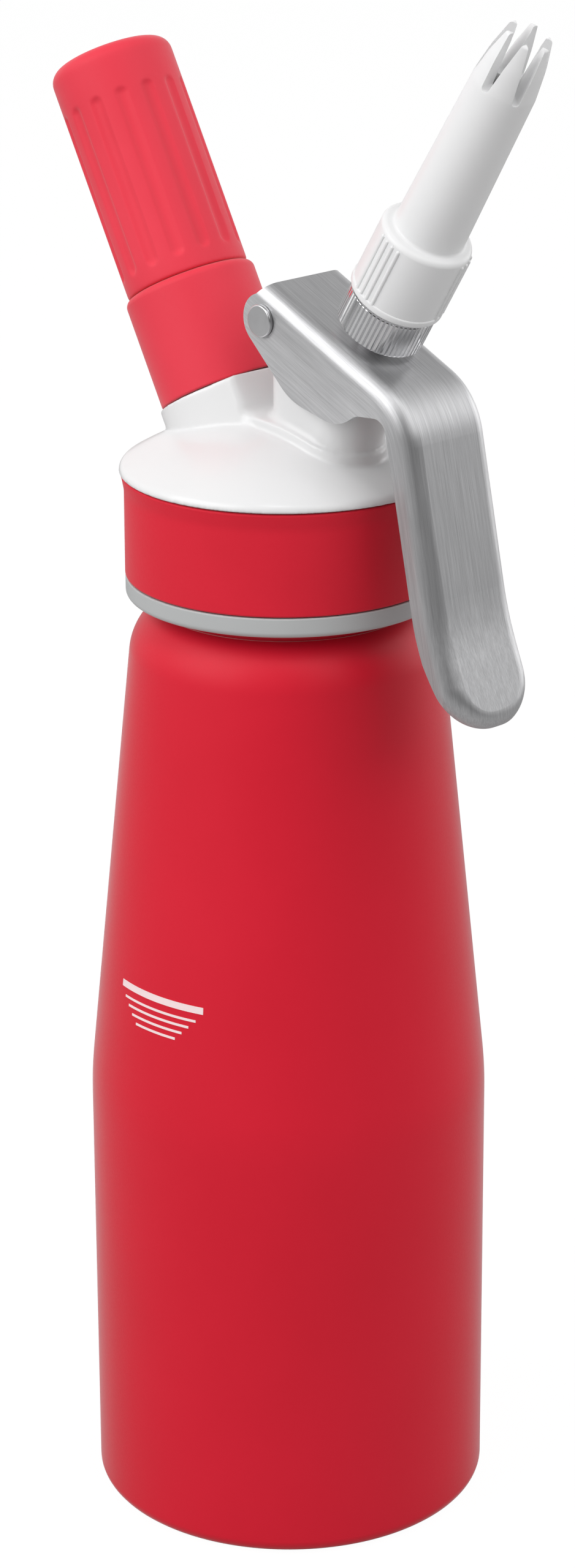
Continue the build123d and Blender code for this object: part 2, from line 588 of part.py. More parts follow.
flare_in = Vector(-cos(radians(FLARE_TILT)), 0, -sin(radians(FLARE_TILT)))
flare_on = Vector(sin(radians(FLARE_TILT)), 0, -cos(radians(FLARE_TILT)))
plate_on = (cos(radians(PLATE_TILT)), 0, -sin(radians(PLATE_TILT)))
plate_up = (sin(radians(PLATE_TILT)), 0, cos(radians(PLATE_TILT)))
bridge_a = degrees(atan2(bridge[1] - scallop[1], bridge[0] - scallop[0]))
bridge_end = crossing(flange_low, handle_a, bridge, bridge_a)

with BuildLine(SIDE) as outer_path:
    FilletPolyline(plate_back, *outer_line(0), radius=(BEND_R, FLARE_R))
with BuildLine(SIDE) as inner_path:
    FilletPolyline(ahead(plate_back, -PLATE_TILT, -10, -LEVER_T), *outer_line(LEVER_T),
                   radius=(BEND_R - LEVER_T, FLARE_R + LEVER_T))

with BuildPart() as lever_hollow:
    with BuildSketch(SIDE):
        with BuildLine():
            FilletPolyline(ahead(plate_back, -PLATE_TILT, -10, -LEVER_T), *outer_line(LEVER_T),
                           ahead(outer_line(LEVER_T)[2], flare_a, 0, -30),
                           ahead(plate_bend, handle_a, 30, -40), ahead(plate_back, -PLATE_TILT, -10, -40),
                           radius=(0, BEND_R - LEVER_T, FLARE_R + LEVER_T, 0, 0, 0, 0), close=True)
        make_face()
    extrude(amount=side_half, both=True)
    fold_rim(lever_hollow, side_half, END_R - LEVER_T, FOLD_R - LEVER_T, inner_path.line,
             outer_line(LEVER_T)[2])

with BuildPart() as lever:
    with BuildSketch(SIDE):
        with BuildLine():
            FilletPolyline(plate_back, *outer_line(0), flange_end, flange_low, bridge_end, scallop,
                           lobe, heel, polar(pivot, EAR_R, 228), polar(pivot, EAR_R, 108),
                           radius=(0, BEND_R, FLARE_R, 0, 0, 40, 3, 4, 9, 12, 0, 0), close=True)
        make_face()
        with Locations(pivot):
            Circle(EAR_R)
    extrude(amount=LEVER_W / 2, both=True)
    fold_rim(lever, LEVER_W / 2, END_R, FOLD_R, outer_path.line, outer_line(0)[2])
    add(lever_hollow.part, mode=Mode.SUBTRACT)
    with BuildSketch(SIDE) as pin_eyes:
        with Locations(pivot):
            Circle(PIN_R + RUN_GAP)
    extrude(pin_eyes.sketch, amount=LEVER_W, both=True, mode=Mode.SUBTRACT)
    slot_at = ahead(plate_foot, -PLATE_TILT, LEVER_SLOT_AT, -LEVER_T / 2)
    with BuildSketch(Plane((slot_at[0], 0, slot_at[1]), x_dir=plate_on, z_dir=plate_up)) as stem_slot:
        SlotCenterToCenter(LEVER_SLOT_LEN, 2 * LEVER_SLOT_R)
    extrude(stem_slot.sketch, amount=2 * LEVER_T, both=True, mode=Mode.SUBTRACT)
    with BuildSketch(SIDE) as flange_cut:
        with BuildLine():
            ThreePointArc(cut_low, cut_mid, cut_high)
            Polyline(cut_high, ahead(handle_end, flare_a, 5, -2 * FLANGE_DEPTH),
                     ahead(cut_low, flare_a, 3), cut_low)
        make_face()
    extrude(flange_cut.sketch, amount=LEVER_W, both=True, mode=Mode.SUBTRACT)
lever.part.label = "lever"
export_step(lever.part, "parts/lever.step")

# ---- pivot pin: rivet through the ears and the tower ------------------------------------------
pin_head_y = LEVER_W / 2 + SEAT_GAP
pin_end_y = pin_head_y + PIN_HEAD_T
pin_rim_y = pin_head_y + 0.2
pin_dome_r = (PIN_HEAD_R ** 2 + (pin_end_y - pin_rim_y) ** 2) / (2 * (pin_end_y - pin_rim_y))
pin_dome_a = 90 - degrees(asin(PIN_HEAD_R / pin_dome_r)) / 2
pin_dome_mid = polar((0, pin_end_y - pin_dome_r), pin_dome_r, pin_dome_a)
with BuildPart() as pivot_pin:
    with BuildSketch(PIN_SIDE) as pin_profile:
        with BuildLine():
            Line((0, pin_end_y), (0, -pin_end_y))
            ThreePointArc((0, -pin_end_y), (pin_dome_mid[0], -pin_dome_mid[1]), (PIN_HEAD_R, -pin_rim_y))
            Polyline((PIN_HEAD_R, -pin_rim_y), (PIN_HEAD_R, -pin_head_y), (PIN_R, -pin_head_y),
                     (PIN_R, pin_head_y), (PIN_HEAD_R, pin_head_y), (PIN_HEAD_R, pin_rim_y))
            ThreePointArc((PIN_HEAD_R, pin_rim_y), pin_dome_mid, (0, pin_end_y))
        make_face()
    revolve(pin_profile.sketch, axis=PIN_AXIS)
pivot_pin.part.label = "pivot_pin"
export_step(pivot_pin.part, "parts/pivot_pin.step")

# ---- valve guide: bush in the tower with the spring's pocket and the stem's ring groove ----------
bore_r = STEM_R + RUN_GAP
groove_half = STEM_RING_R + RUN_GAP
ring_mid_r = bore_r + STEM_RING_R
with BuildPart() as valve_guide:
    turned(VALVE_SIDE, VALVE_AXIS, (SEAT_CHAMBER_R, GUIDE_LOW), (GUIDE_R, GUIDE_LOW), (GUIDE_R, TOWER_TOP),
           (GUIDE_FLANGE_R, TOWER_TOP), (GUIDE_FLANGE_R, TOWER_TOP + GUIDE_FLANGE_T),
           (SPRING_POCKET_R, TOWER_TOP + GUIDE_FLANGE_T), (SPRING_POCKET_R, SPRING_FLOOR),
           (bore_r, SPRING_FLOOR), (bore_r, STEM_RING_AT + groove_half),
           (ring_mid_r + groove_half, STEM_RING_AT + groove_half),
           (ring_mid_r + groove_half, STEM_RING_AT - groove_half), (bore_r, STEM_RING_AT - groove_half),
           (bore_r, GUIDE_LOW + SEAT_CHAMBER_H), (SEAT_CHAMBER_R, GUIDE_LOW + SEAT_CHAMBER_H))
valve_guide.part.label = "valve_guide"
export_step(valve_guide.part, "parts/valve_guide.step")

# ---- stem ring: small ring seal in the guide's groove -------------------------------------------
with BuildPart() as stem_oring:
    with BuildSketch(VALVE_SIDE) as ring_section:
        with Locations((ring_mid_r, STEM_RING_AT)):
            Circle(STEM_RING_R)
    revolve(ring_section.sketch, axis=VALVE_AXIS)
stem_oring.part.label = "stem_oring"
export_step(stem_oring.part, "parts/stem_oring.step")

# ---- valve stem: hollow spindle with a head below and two cross holes above the seal -------------
seal_low = STEM_LOW + STEM_HEAD_T
seal_high = seal_low + VALVE_SEAL_T
port_d = seal_high + STEM_PORT_R + 1.4
with BuildPart() as valve_stem:
    turned(VALVE_SIDE, VALVE_AXIS, (0, STEM_LOW), (VALVE_SEAL_R, STEM_LOW), (VALVE_SEAL_R, seal_low),
           (STEM_R, seal_low), (STEM_R, STEM_HIGH), (STEM_BORE_R, STEM_HIGH), (STEM_BORE_R, seal_high + 1),
           (0, seal_high + 1))
    with BuildSketch(valve_radial(0, port_d)) as port_x:
        Circle(STEM_PORT_R)
    extrude(port_x.sketch, amount=STEM_R + 1, both=True, mode=Mode.SUBTRACT)
    with BuildSketch(valve_radial(90, port_d)) as port_y:
        Circle(STEM_PORT_R)
    extrude(port_y.sketch, amount=STEM_R + 1, both=True, mode=Mode.SUBTRACT)
valve_stem.part.label = "valve_stem"
export_step(valve_stem.part, "parts/valve_stem.step")

# ---- valve seal: rubber washer above the stem's head ---------------------------------------------
with BuildPart() as valve_gasket:
    turned(VALVE_SIDE, VALVE_AXIS, *ring(STEM_R, VALVE_SEAL_R, seal_low, seal_high))
valve_gasket.part.label = "valve_gasket"
export_step(valve_gasket.part, "parts/valve_gasket.step")

# ---- stem collar: the plate of the lever presses on it, and the spring lifts it -------------------
collar_low = COLLAR_TOP - COLLAR_T
with BuildPart() as stem_collar:
    turned(VALVE_SIDE, VALVE_AXIS, (STEM_R, collar_low), (COLLAR_R, collar_low), (COLLAR_R, COLLAR_TOP - 0.4),
           (COLLAR_R - 0.4, COLLAR_TOP), (STEM_R, COLLAR_TOP))
stem_collar.part.label = "stem_collar"
export_step(stem_collar.part, "parts/stem_collar.step")

# ---- valve spring: coil between the guide's pocket and the collar ---------------------------------
spring_low = SPRING_FLOOR + SPRING_WIRE_R + RUN_GAP
spring_high = collar_low - SPRING_WIRE_R - RUN_GAP
with BuildPart() as valve_spring:
    with BuildLine():
        coil = Helix((spring_high - spring_low) / SPRING_TURNS, spring_high - spring_low, SPRING_R,
                     center=valve_o + nozzle_up * spring_low, direction=nozzle_up)
    with BuildSketch(Plane(coil @ 0, z_dir=coil % 0)):
        Circle(SPRING_WIRE_R)
    sweep(is_frenet=True)
valve_spring.part.label = "valve_spring"
export_step(valve_spring.part, "parts/valve_spring.step")

# ---- nozzle adaptor: knurled nut on the stem, with the spigot that the tip screws on ---------------
knurl_high = KNURL_LOW + KNURL_H
spigot_high = knurl_high + SPIGOT_H
with BuildPart() as nozzle_adaptor:
    with BuildSketch(valve_plane(KNURL_LOW)):
        Circle(KNURL_R)
        with PolarLocations(KNURL_R, KNURLS):
            RegularPolygon(KNURL_DEPTH, 4, rotation=0, mode=Mode.SUBTRACT)
    extrude(amount=KNURL_H)
    turned(VALVE_SIDE, VALVE_AXIS, (0, KNURL_LOW), (KNURL_R - KNURL_CHAMFER, KNURL_LOW),
           (KNURL_R, KNURL_LOW + KNURL_CHAMFER), (KNURL_R, knurl_high - KNURL_CHAMFER),
           (KNURL_R - KNURL_CHAMFER, knurl_high), (0, knurl_high), mode=Mode.INTERSECT)
    turned(VALVE_SIDE, VALVE_AXIS, (0, knurl_high - 1), (SPIGOT_R, knurl_high - 1),
           (SPIGOT_R, spigot_high - 0.6), (SPIGOT_R - 0.6, spigot_high), (0, spigot_high))
    turned(VALVE_SIDE, VALVE_AXIS, (0, KNURL_LOW - 1), (STEM_R, KNURL_LOW - 1), (STEM_R, STEM_HIGH),
           (ADAPTOR_BORE_R, STEM_HIGH), (ADAPTOR_BORE_R, spigot_high + 1), (0, spigot_high + 1),
           mode=Mode.SUBTRACT)
nozzle_adaptor.part.label = "nozzle_adaptor"
export_step(nozzle_adaptor.part, "parts/nozzle_adaptor.step")

# ---- tip washer: flat seal between the spigot and the tip -------------------------------------------
with BuildPart() as tip_washer:
    turned(VALVE_SIDE, VALVE_AXIS,
           *ring(ADAPTOR_BORE_R + SEAT_GAP, SPIGOT_R - SEAT_GAP, spigot_high, spigot_high + TIP_WASHER_T))
tip_washer.part.label = "tip_washer"
export_step(tip_washer.part, "parts/tip_washer.step")

# ---- decorator tip: socket, tapering tube and a star of curved tines ---------------------------------
socket_low = knurl_high + THREAD_GAP
socket_high = socket_low + SOCKET_H
socket_r = SPIGOT_R + THREAD_GAP + SOCKET_WALL
bore_high = spigot_high + TIP_WASHER_T + SEAT_GAP
waist = socket_high + 0.6 + TIP_TUBE_H
tip_high = waist + TINE_LEN
bead = SOCKET_BEAD

with BuildPart() as decorator_tip:
    with BuildSketch(VALVE_SIDE):
        with BuildLine():
            Polyline((SPIGOT_R + THREAD_GAP, socket_low), (socket_r, socket_low))
            ThreePointArc((socket_r, socket_low), (socket_r + bead, socket_low + SOCKET_BEAD_H / 2),
                          (socket_r, socket_low + SOCKET_BEAD_H))
            Polyline((socket_r, socket_low + SOCKET_BEAD_H), (socket_r, socket_high - SOCKET_EDGE_R))
            ThreePointArc((socket_r, socket_high - SOCKET_EDGE_R),
                          polar((socket_r - SOCKET_EDGE_R, socket_high - SOCKET_EDGE_R), SOCKET_EDGE_R, 45),
                          (socket_r - SOCKET_EDGE_R, socket_high))
            Polyline((socket_r - SOCKET_EDGE_R, socket_high), (TIP_FOOT_R, socket_high + 0.6),
                     (TIP_WAIST_R, waist))
            ThreePointArc((TIP_WAIST_R, waist), ((TIP_WAIST_R + TIP_END_R) / 2 + 0.25, waist + TINE_LEN / 2),
                          (TIP_END_R, tip_high - TINE_EDGE_R))
            ThreePointArc((TIP_END_R, tip_high - TINE_EDGE_R), (TIP_END_R - TIP_WALL / 2, tip_high),
                          (TIP_END_R - TIP_WALL, tip_high - TINE_EDGE_R))
            ThreePointArc((TIP_END_R - TIP_WALL, tip_high - TINE_EDGE_R),
                          ((TIP_WAIST_R + TIP_END_R) / 2 + 0.25 - TIP_WALL, waist + TINE_LEN / 2),
                          (TIP_WAIST_R - TIP_WALL, waist))
            Polyline((TIP_WAIST_R - TIP_WALL, waist), (TIP_FOOT_R - TIP_WALL, bore_high),
                     (SPIGOT_R + THREAD_GAP, bore_high), (SPIGOT_R + THREAD_GAP, socket_low))
        make_face()
    revolve(axis=VALVE_AXIS)
    for group in range(RIB_GROUPS):
        for rib in range(RIBS):
            rib_a = RIB_CENTRE + 360 / RIB_GROUPS * group + RIB_PITCH * (rib - (RIBS - 1) / 2)
            with BuildSketch(valve_plane(socket_low + SOCKET_BEAD_H)):
                with Locations(polar((0, 0), socket_r, rib_a)):
                    Circle(RIB_R)
            extrude(amount=SOCKET_H - SOCKET_BEAD_H - SOCKET_EDGE_R)
    for cut in range(TINES // 2):
        with BuildSketch(valve_radial(SLOT_PHASE + 360 / TINES * cut, waist)) as tine_slot:
            Circle(SLOT_FOOT / 2)
            with BuildLine():
                Polyline((-SLOT_FOOT / 2, 0), (SLOT_FOOT / 2, 0), (SLOT_MOUTH / 2, TINE_LEN + 0.5),
                         (-SLOT_MOUTH / 2, TINE_LEN + 0.5), close=True)
            make_face()
        extrude(tine_slot.sketch, amount=2 * TIP_WAIST_R, both=True, mode=Mode.SUBTRACT)
decorator_tip.part.label = "decorator_tip"
export_step(decorator_tip.part, "parts/decorator_tip.step")
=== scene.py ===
"""Looks of the whipped cream dispenser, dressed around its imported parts."""

from __future__ import annotations

import logging
import math
from dataclasses import dataclass
from enum import Enum
from typing import Callable, Sequence

import bpy
from mathutils import Matrix, Vector

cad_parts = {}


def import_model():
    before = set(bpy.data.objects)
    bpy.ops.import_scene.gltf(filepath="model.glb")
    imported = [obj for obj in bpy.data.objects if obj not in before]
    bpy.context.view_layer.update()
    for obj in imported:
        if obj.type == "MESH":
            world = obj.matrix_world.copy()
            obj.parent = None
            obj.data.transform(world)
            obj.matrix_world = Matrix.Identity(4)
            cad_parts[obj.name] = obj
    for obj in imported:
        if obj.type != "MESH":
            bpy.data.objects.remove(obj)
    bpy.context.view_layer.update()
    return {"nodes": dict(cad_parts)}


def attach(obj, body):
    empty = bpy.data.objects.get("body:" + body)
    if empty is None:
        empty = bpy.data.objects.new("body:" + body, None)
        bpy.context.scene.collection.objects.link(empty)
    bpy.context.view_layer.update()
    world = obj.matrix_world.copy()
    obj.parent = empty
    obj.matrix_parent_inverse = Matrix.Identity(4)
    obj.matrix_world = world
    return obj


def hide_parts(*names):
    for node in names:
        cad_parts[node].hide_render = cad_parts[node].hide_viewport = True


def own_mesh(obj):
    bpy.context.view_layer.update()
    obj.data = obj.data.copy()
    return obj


LOG = logging.getLogger("cream_dispenser")
MM = 0.001

Colour = tuple[float, float, float]
Point = tuple[float, float]
Socket = bpy.types.NodeSocket
Piece = bpy.types.Object


# ---------------------------------------------------------------- shared places


@dataclass(frozen=True)
class Spindle:
    """A tilted axis that turned pieces stand on, in millimetres."""

    origin: tuple[float, float, float]
    tilt_deg: float

    def matrix(self) -> Matrix:
        """Return the place of the axis: local Z along it, local X in the plane of symmetry."""
        turn = Matrix.Rotation(math.radians(self.tilt_deg), 4, "Y")
        return Matrix.Translation(Vector(self.origin) * MM) @ turn


@dataclass(frozen=True)
class Layout:
    """Levels and axes that the sub-assemblies share, in millimetres and degrees."""

    rim_z: float = 216.79
    lip_z: float = 213.39
    band_z: float = 196.14
    ring_z: float = 192.15
    pivot: tuple[float, float] = (5.0, 248.69)
    bend: tuple[float, float] = (29.985, 228.194)
    bend_r: float = 15.0
    plate_tilt_deg: float = 24.3
    handle_tilt_deg: float = 12.0
    holder: Spindle = Spindle((-16.65, 0.0, 229.59), -28.9)
    nozzle: Spindle = Spindle((19.717, 0.0, 239.316), 32.5)

    def across_pivot(self) -> Matrix:
        """Return the place of the lever's pivot: local Z along the pin."""
        stand = Matrix.Translation((self.pivot[0] * MM, 0.0, self.pivot[1] * MM))
        return stand @ Matrix.Rotation(math.radians(90.0), 4, "X")


LAYOUT = Layout()


# ---------------------------------------------------------------- node helpers


class NodeSheet:
    """A node tree that is filled by short calls."""

    def __init__(self, tree: bpy.types.NodeTree) -> None:
        """Keep the tree that the calls fill.

        Args:
            tree: A material's or a group's node tree.
        """
        self.tree = tree

    @classmethod
    def of(cls, owner: bpy.types.Material | bpy.types.World) -> NodeSheet:
        """Empty the node tree of a material or a world and return its sheet.

        Args:
            owner: The material or the world.

        Returns:
            The sheet of its empty tree.
        """
        owner.use_nodes = True
        owner.node_tree.nodes.clear()
        return cls(owner.node_tree)

    def add(self, kind: str, **values: object) -> bpy.types.Node:
        """Add a node and set its properties.

        Args:
            kind: The node's type name.
            **values: Property names and values.

        Returns:
            The new node.
        """
        node = self.tree.nodes.new(kind)
        for key, value in values.items():
            setattr(node, key, value)
        return node

    def link(self, out: Socket, into: Socket) -> None:
        """Join an output to an input."""
        self.tree.links.new(out, into)

    def feed(self, source: Socket | float, socket: Socket) -> None:
        """Set a socket to a plain value, or link it to another socket.

        Args:
            source: A value or an output.
            socket: The input that takes it.
        """
        if isinstance(source, (int, float)):
            socket.default_value = source
        else:
            self.link(source, socket)

    def math(self, operation: str, a: Socket | float, b: Socket | float = 0.0) -> Socket:
        """Add a Math node.

        Args:
            operation: The Math node's operation.
            a: First value or socket.
            b: Second value or socket.

        Returns:
            The result's socket.
        """
        node = self.add("ShaderNodeMath", operation=operation)
        for value, socket in zip((a, b), node.inputs):
            self.feed(value, socket)
        return node.outputs[0]

    def along(self, place: Socket, way: tuple[float, float, float]) -> Socket:
        """Measure a place along a direction.

        Args:
            place: Coordinates.
            way: The direction.

        Returns:
            The distance's socket.
        """
        node = self.add("ShaderNodeVectorMath", operation="DOT_PRODUCT")
        self.link(place, node.inputs[0])
        node.inputs[1].default_value = way
        return node.outputs["Value"]

    def bump(self, height: Socket, shader: bpy.types.Node, strength: float, distance: float) -> None:
        """Add a Bump node that feeds a shader's normal.

        Args:
            height: The relief's socket.
            shader: The shader.
            strength: The node's strength.
            distance: Height of the relief in metres.
        """
        node = self.add("ShaderNodeBump")
        node.inputs["Strength"].default_value = strength
        node.inputs["Distance"].default_value = distance
        self.link(height, node.inputs["Height"])
        self.link(node.outputs[0], shader.inputs["Normal"])

    def pick(self, mask: Socket, first: Socket | float, second: Socket | float) -> Socket:
        """Return the second value where a mask is 1, and the first elsewhere.

        Args:
            mask: 0 or 1.
            first: Value or socket where the mask is 0.
            second: Value or socket where the mask is 1.

        Returns:
            The chosen value's socket.
        """
        node = self.add("ShaderNodeMix", data_type="FLOAT")
        for name, source in (("Factor", mask), ("A", first), ("B", second)):
            self.feed(source, node.inputs[name])
        return node.outputs["Result"]

    def noise(self, place: Socket, scale: Socket | float, detail: float, rough: float = 0.5) -> Socket:
        """Add a noise texture.

        Args:
            place: Coordinates.
            scale: How fine the pattern is.
            detail: Octaves.
            rough: Weight of the finer octaves.

        Returns:
            The factor socket.
        """
        node = self.add("ShaderNodeTexNoise")
        self.feed(scale, node.inputs["Scale"])
        node.inputs["Detail"].default_value = detail
        node.inputs["Roughness"].default_value = rough
        self.link(place, node.inputs["Vector"])
        return node.outputs[0]

    def spread(self, value: Socket, low: float, high: float, a: float = 0.3, b: float = 0.7) -> Socket:
        """Map a factor to a range.

        Args:
            value: Factor to map.
            low: Result at the lower end.
            high: Result at the upper end.
            a: Lower end of the factor.
            b: Upper end of the factor.

        Returns:
            The mapped value's socket.
        """
        node = self.add("ShaderNodeMapRange")
        for name, number in (("From Min", a), ("From Max", b), ("To Min", low), ("To Max", high)):
            node.inputs[name].default_value = number
        self.link(value, node.inputs["Value"])
        return node.outputs[0]

    def tint(self, factor: Socket, first: Colour, second: Colour) -> Socket:
        """Mix two colours by a factor.

        Args:
            factor: 0 gives the first colour, 1 the second.
            first: Linear colour.
            second: Linear colour.

        Returns:
            The colour socket.
        """
        node = self.add("ShaderNodeMix", data_type="RGBA")
        self.link(factor, node.inputs["Factor"])
        node.inputs["A"].default_value = (*first, 1.0)
        node.inputs["B"].default_value = (*second, 1.0)
        return node.outputs["Result"]


def srgb(red: int, green: int, blue: int) -> Colour:
    """Turn a screen colour into a linear one.

    Args:
        red: 0 to 255.
        green: 0 to 255.
        blue: 0 to 255.

    Returns:
        The linear colour.
    """
    def linear(value: int) -> float:
        """Undo the screen curve for one channel."""
        share = value / 255.0
        return share / 12.92 if share <= 0.04045 else ((share + 0.055) / 1.055) ** 2.4

    return (linear(red), linear(green), linear(blue))


# ---------------------------------------------------------------- shared effects


def start_group(name: str, **inputs: str) -> tuple[NodeSheet, bpy.types.Node, bpy.types.Node]:
    """Start a node group with Shade, Rough and Height outputs.

    Args:
        name: The group's name.
        **inputs: Names and socket types of its inputs.

    Returns:
        Its node sheet, its input node and its output node.
    """
    tree = bpy.data.node_groups.new(name, "ShaderNodeTree")
    for label, kind in inputs.items():
        tree.interface.new_socket(label, in_out="INPUT", socket_type=kind)
    for label in ("Shade", "Rough", "Height"):
        tree.interface.new_socket(label, in_out="OUTPUT", socket_type="NodeSocketFloat")
    sheet = NodeSheet(tree)
    return sheet, sheet.add("NodeGroupInput"), sheet.add("NodeGroupOutput")


def build_grain() -> bpy.types.NodeTree:
    """Make the group that gives a moulded or coated skin its fine grain.

    Returns:
        The node group.
    """
    sheet, given, out = start_group("fine_grain", Scale="NodeSocketFloat", Mottle="NodeSocketFloat")
    place = sheet.add("ShaderNodeTexCoord").outputs["Object"]
    fine = sheet.noise(place, given.outputs["Scale"], 2.0)
    broad = sheet.noise(place, given.outputs["Mottle"], 4.0)
    sheet.link(sheet.spread(broad, 0.0, 1.0), out.inputs["Shade"])
    both = sheet.math("MULTIPLY", sheet.math("ADD", fine, broad), 0.5)
    sheet.link(sheet.spread(both, 0.0, 1.0, 0.35, 0.65), out.inputs["Rough"])
    sheet.link(fine, out.inputs["Height"])
    return sheet.tree


BRUSH_LAYERS: tuple[Point, ...] = ((150.0, 6000.0), (60.0, 2200.0), (25.0, 260.0))


def build_brushing() -> bpy.types.NodeTree:
    """Make the group that draws brush lines along a sheet's run.

    Returns:
        The node group.
    """
    sheet, given, out = start_group("brush_lines", Vector="NodeSocketVector")
    layers = []
    for along, across in BRUSH_LAYERS:
        stretch = sheet.add("ShaderNodeMapping")
        stretch.inputs["Scale"].default_value = (along, across, across)
        sheet.link(given.outputs["Vector"], stretch.inputs["Vector"])
        layers.append(sheet.noise(stretch.outputs[0], 1.0, 2.0))
    fine, middle, broad = layers
    mixed = sheet.math("ADD", sheet.math("MULTIPLY", fine, 0.5), sheet.math("MULTIPLY", middle, 0.5))
    sheet.link(sheet.spread(broad, 0.0, 1.0), out.inputs["Shade"])
    sheet.link(sheet.spread(mixed, 0.0, 1.0), out.inputs["Rough"])
    sheet.link(mixed, out.inputs["Height"])
    return sheet.tree


class Effects:
    """Node groups that several finishes share, built once."""

    _built: dict[str, bpy.types.NodeTree] = {}
    _makers: dict[str, Callable[[], bpy.types.NodeTree]] = {"grain": build_grain, "brushing": build_brushing}

    @classmethod
    def get(cls, name: str) -> bpy.types.NodeTree:
        """Return a shared group by name, and build it at the first call.

        Args:
            name: The effect's name.

        Returns:
            The group.
        """
        if name not in cls._built:
            cls._built[name] = cls._makers[name]()
        return cls._built[name]


# ---------------------------------------------------------------- finishes


@dataclass(frozen=True)
class Finish:
    """A finish whose fixed numbers sit on the Principled shader's own sockets."""

    name: str
    colour: Colour
    rough: float = 0.5
    deep: Colour = (0.0, 0.0, 0.0)
    rough_spread: float = 0.06

    def build(self) -> bpy.types.Material:
        """Make the material.

        Returns:
            The material, named after the finish.
        """
        material = bpy.data.materials.new(self.name)
        sheet = NodeSheet.of(material)
        out = sheet.add("ShaderNodeOutputMaterial")
        shader = sheet.add("ShaderNodeBsdfPrincipled")
        shader.inputs["Base Color"].default_value = (*self.colour, 1.0)
        shader.inputs["Roughness"].default_value = self.rough
        sheet.link(shader.outputs[0], out.inputs["Surface"])
        self.dress(sheet, shader)
        return material

    def dress(self, sheet: NodeSheet, shader: bpy.types.Node) -> None:
        """Add the finish's own detail to its shader."""

    def vary(self, sheet: NodeSheet, shader: bpy.types.Node, tone: Socket, gloss: Socket) -> None:
        """Vary the colour and the roughness a little over the surface.

        Args:
            sheet: The material's node sheet.
            shader: Its Principled shader.
            tone: 0 gives the deep colour, 1 the plain one.
            gloss: 0 gives the lowest roughness, 1 the highest.
        """
        sheet.link(sheet.tint(tone, self.deep, self.colour), shader.inputs["Base Color"])
        low, high = self.rough - self.rough_spread, self.rough + self.rough_spread
        sheet.link(sheet.spread(gloss, low, high, 0.0, 1.0), shader.inputs["Roughness"])


@dataclass(frozen=True)
class Skin(Finish):
    """Enamel, silicone, rubber or moulded plastic with a fine grain."""

    bump: float = 0.05
    bump_height: float = 0.0002
    grain: float = 900.0
    mottle: float = 40.0
    sheen: float = 0.0
    sheen_rough: float = 0.5
    coat: float = 0.0
    coat_rough: float = 0.1
    specular: float = 0.5
    under: float = 0.0
    under_depth: float = 0.002

    def dress(self, sheet: NodeSheet, shader: bpy.types.Node) -> None:
        """Vary the colour and roughness a little, and add the grain's bump.

        Args:
            sheet: The material's node sheet.
            shader: Its Principled shader.
        """
        group = sheet.add("ShaderNodeGroup", node_tree=Effects.get("grain"))
        group.inputs["Scale"].default_value = self.grain
        group.inputs["Mottle"].default_value = self.mottle
        self.vary(sheet, shader, group.outputs["Shade"], group.outputs["Rough"])
        sheet.bump(group.outputs["Height"], shader, self.bump, self.bump_height)
        settings = {"Specular IOR Level": self.specular, "Sheen Weight": self.sheen,
                    "Sheen Roughness": self.sheen_rough, "Coat Weight": self.coat,
                    "Coat Roughness": self.coat_rough, "Subsurface Weight": self.under,
                    "Subsurface Radius": (1.0, 1.0, 1.0), "Subsurface Scale": self.under_depth}
        for name, value in settings.items():
            shader.inputs[name].default_value = value


@dataclass(frozen=True)
class Metal(Finish):
    """Plated or turned metal with faint handling marks."""

    rough_spread: float = 0.05
    marks: float = 120.0

    def dress(self, sheet: NodeSheet, shader: bpy.types.Node) -> None:
        """Vary the metal's tone and gloss over the surface.

        Args:
            sheet: The material's node sheet.
            shader: Its Principled shader.
        """
        shader.inputs["Metallic"].default_value = 1.0
        place = sheet.add("ShaderNodeTexCoord").outputs["Object"]
        cloud = sheet.spread(sheet.noise(place, self.marks, 5.0, 0.6), 0.0, 1.0)
        self.vary(sheet, shader, cloud, cloud)


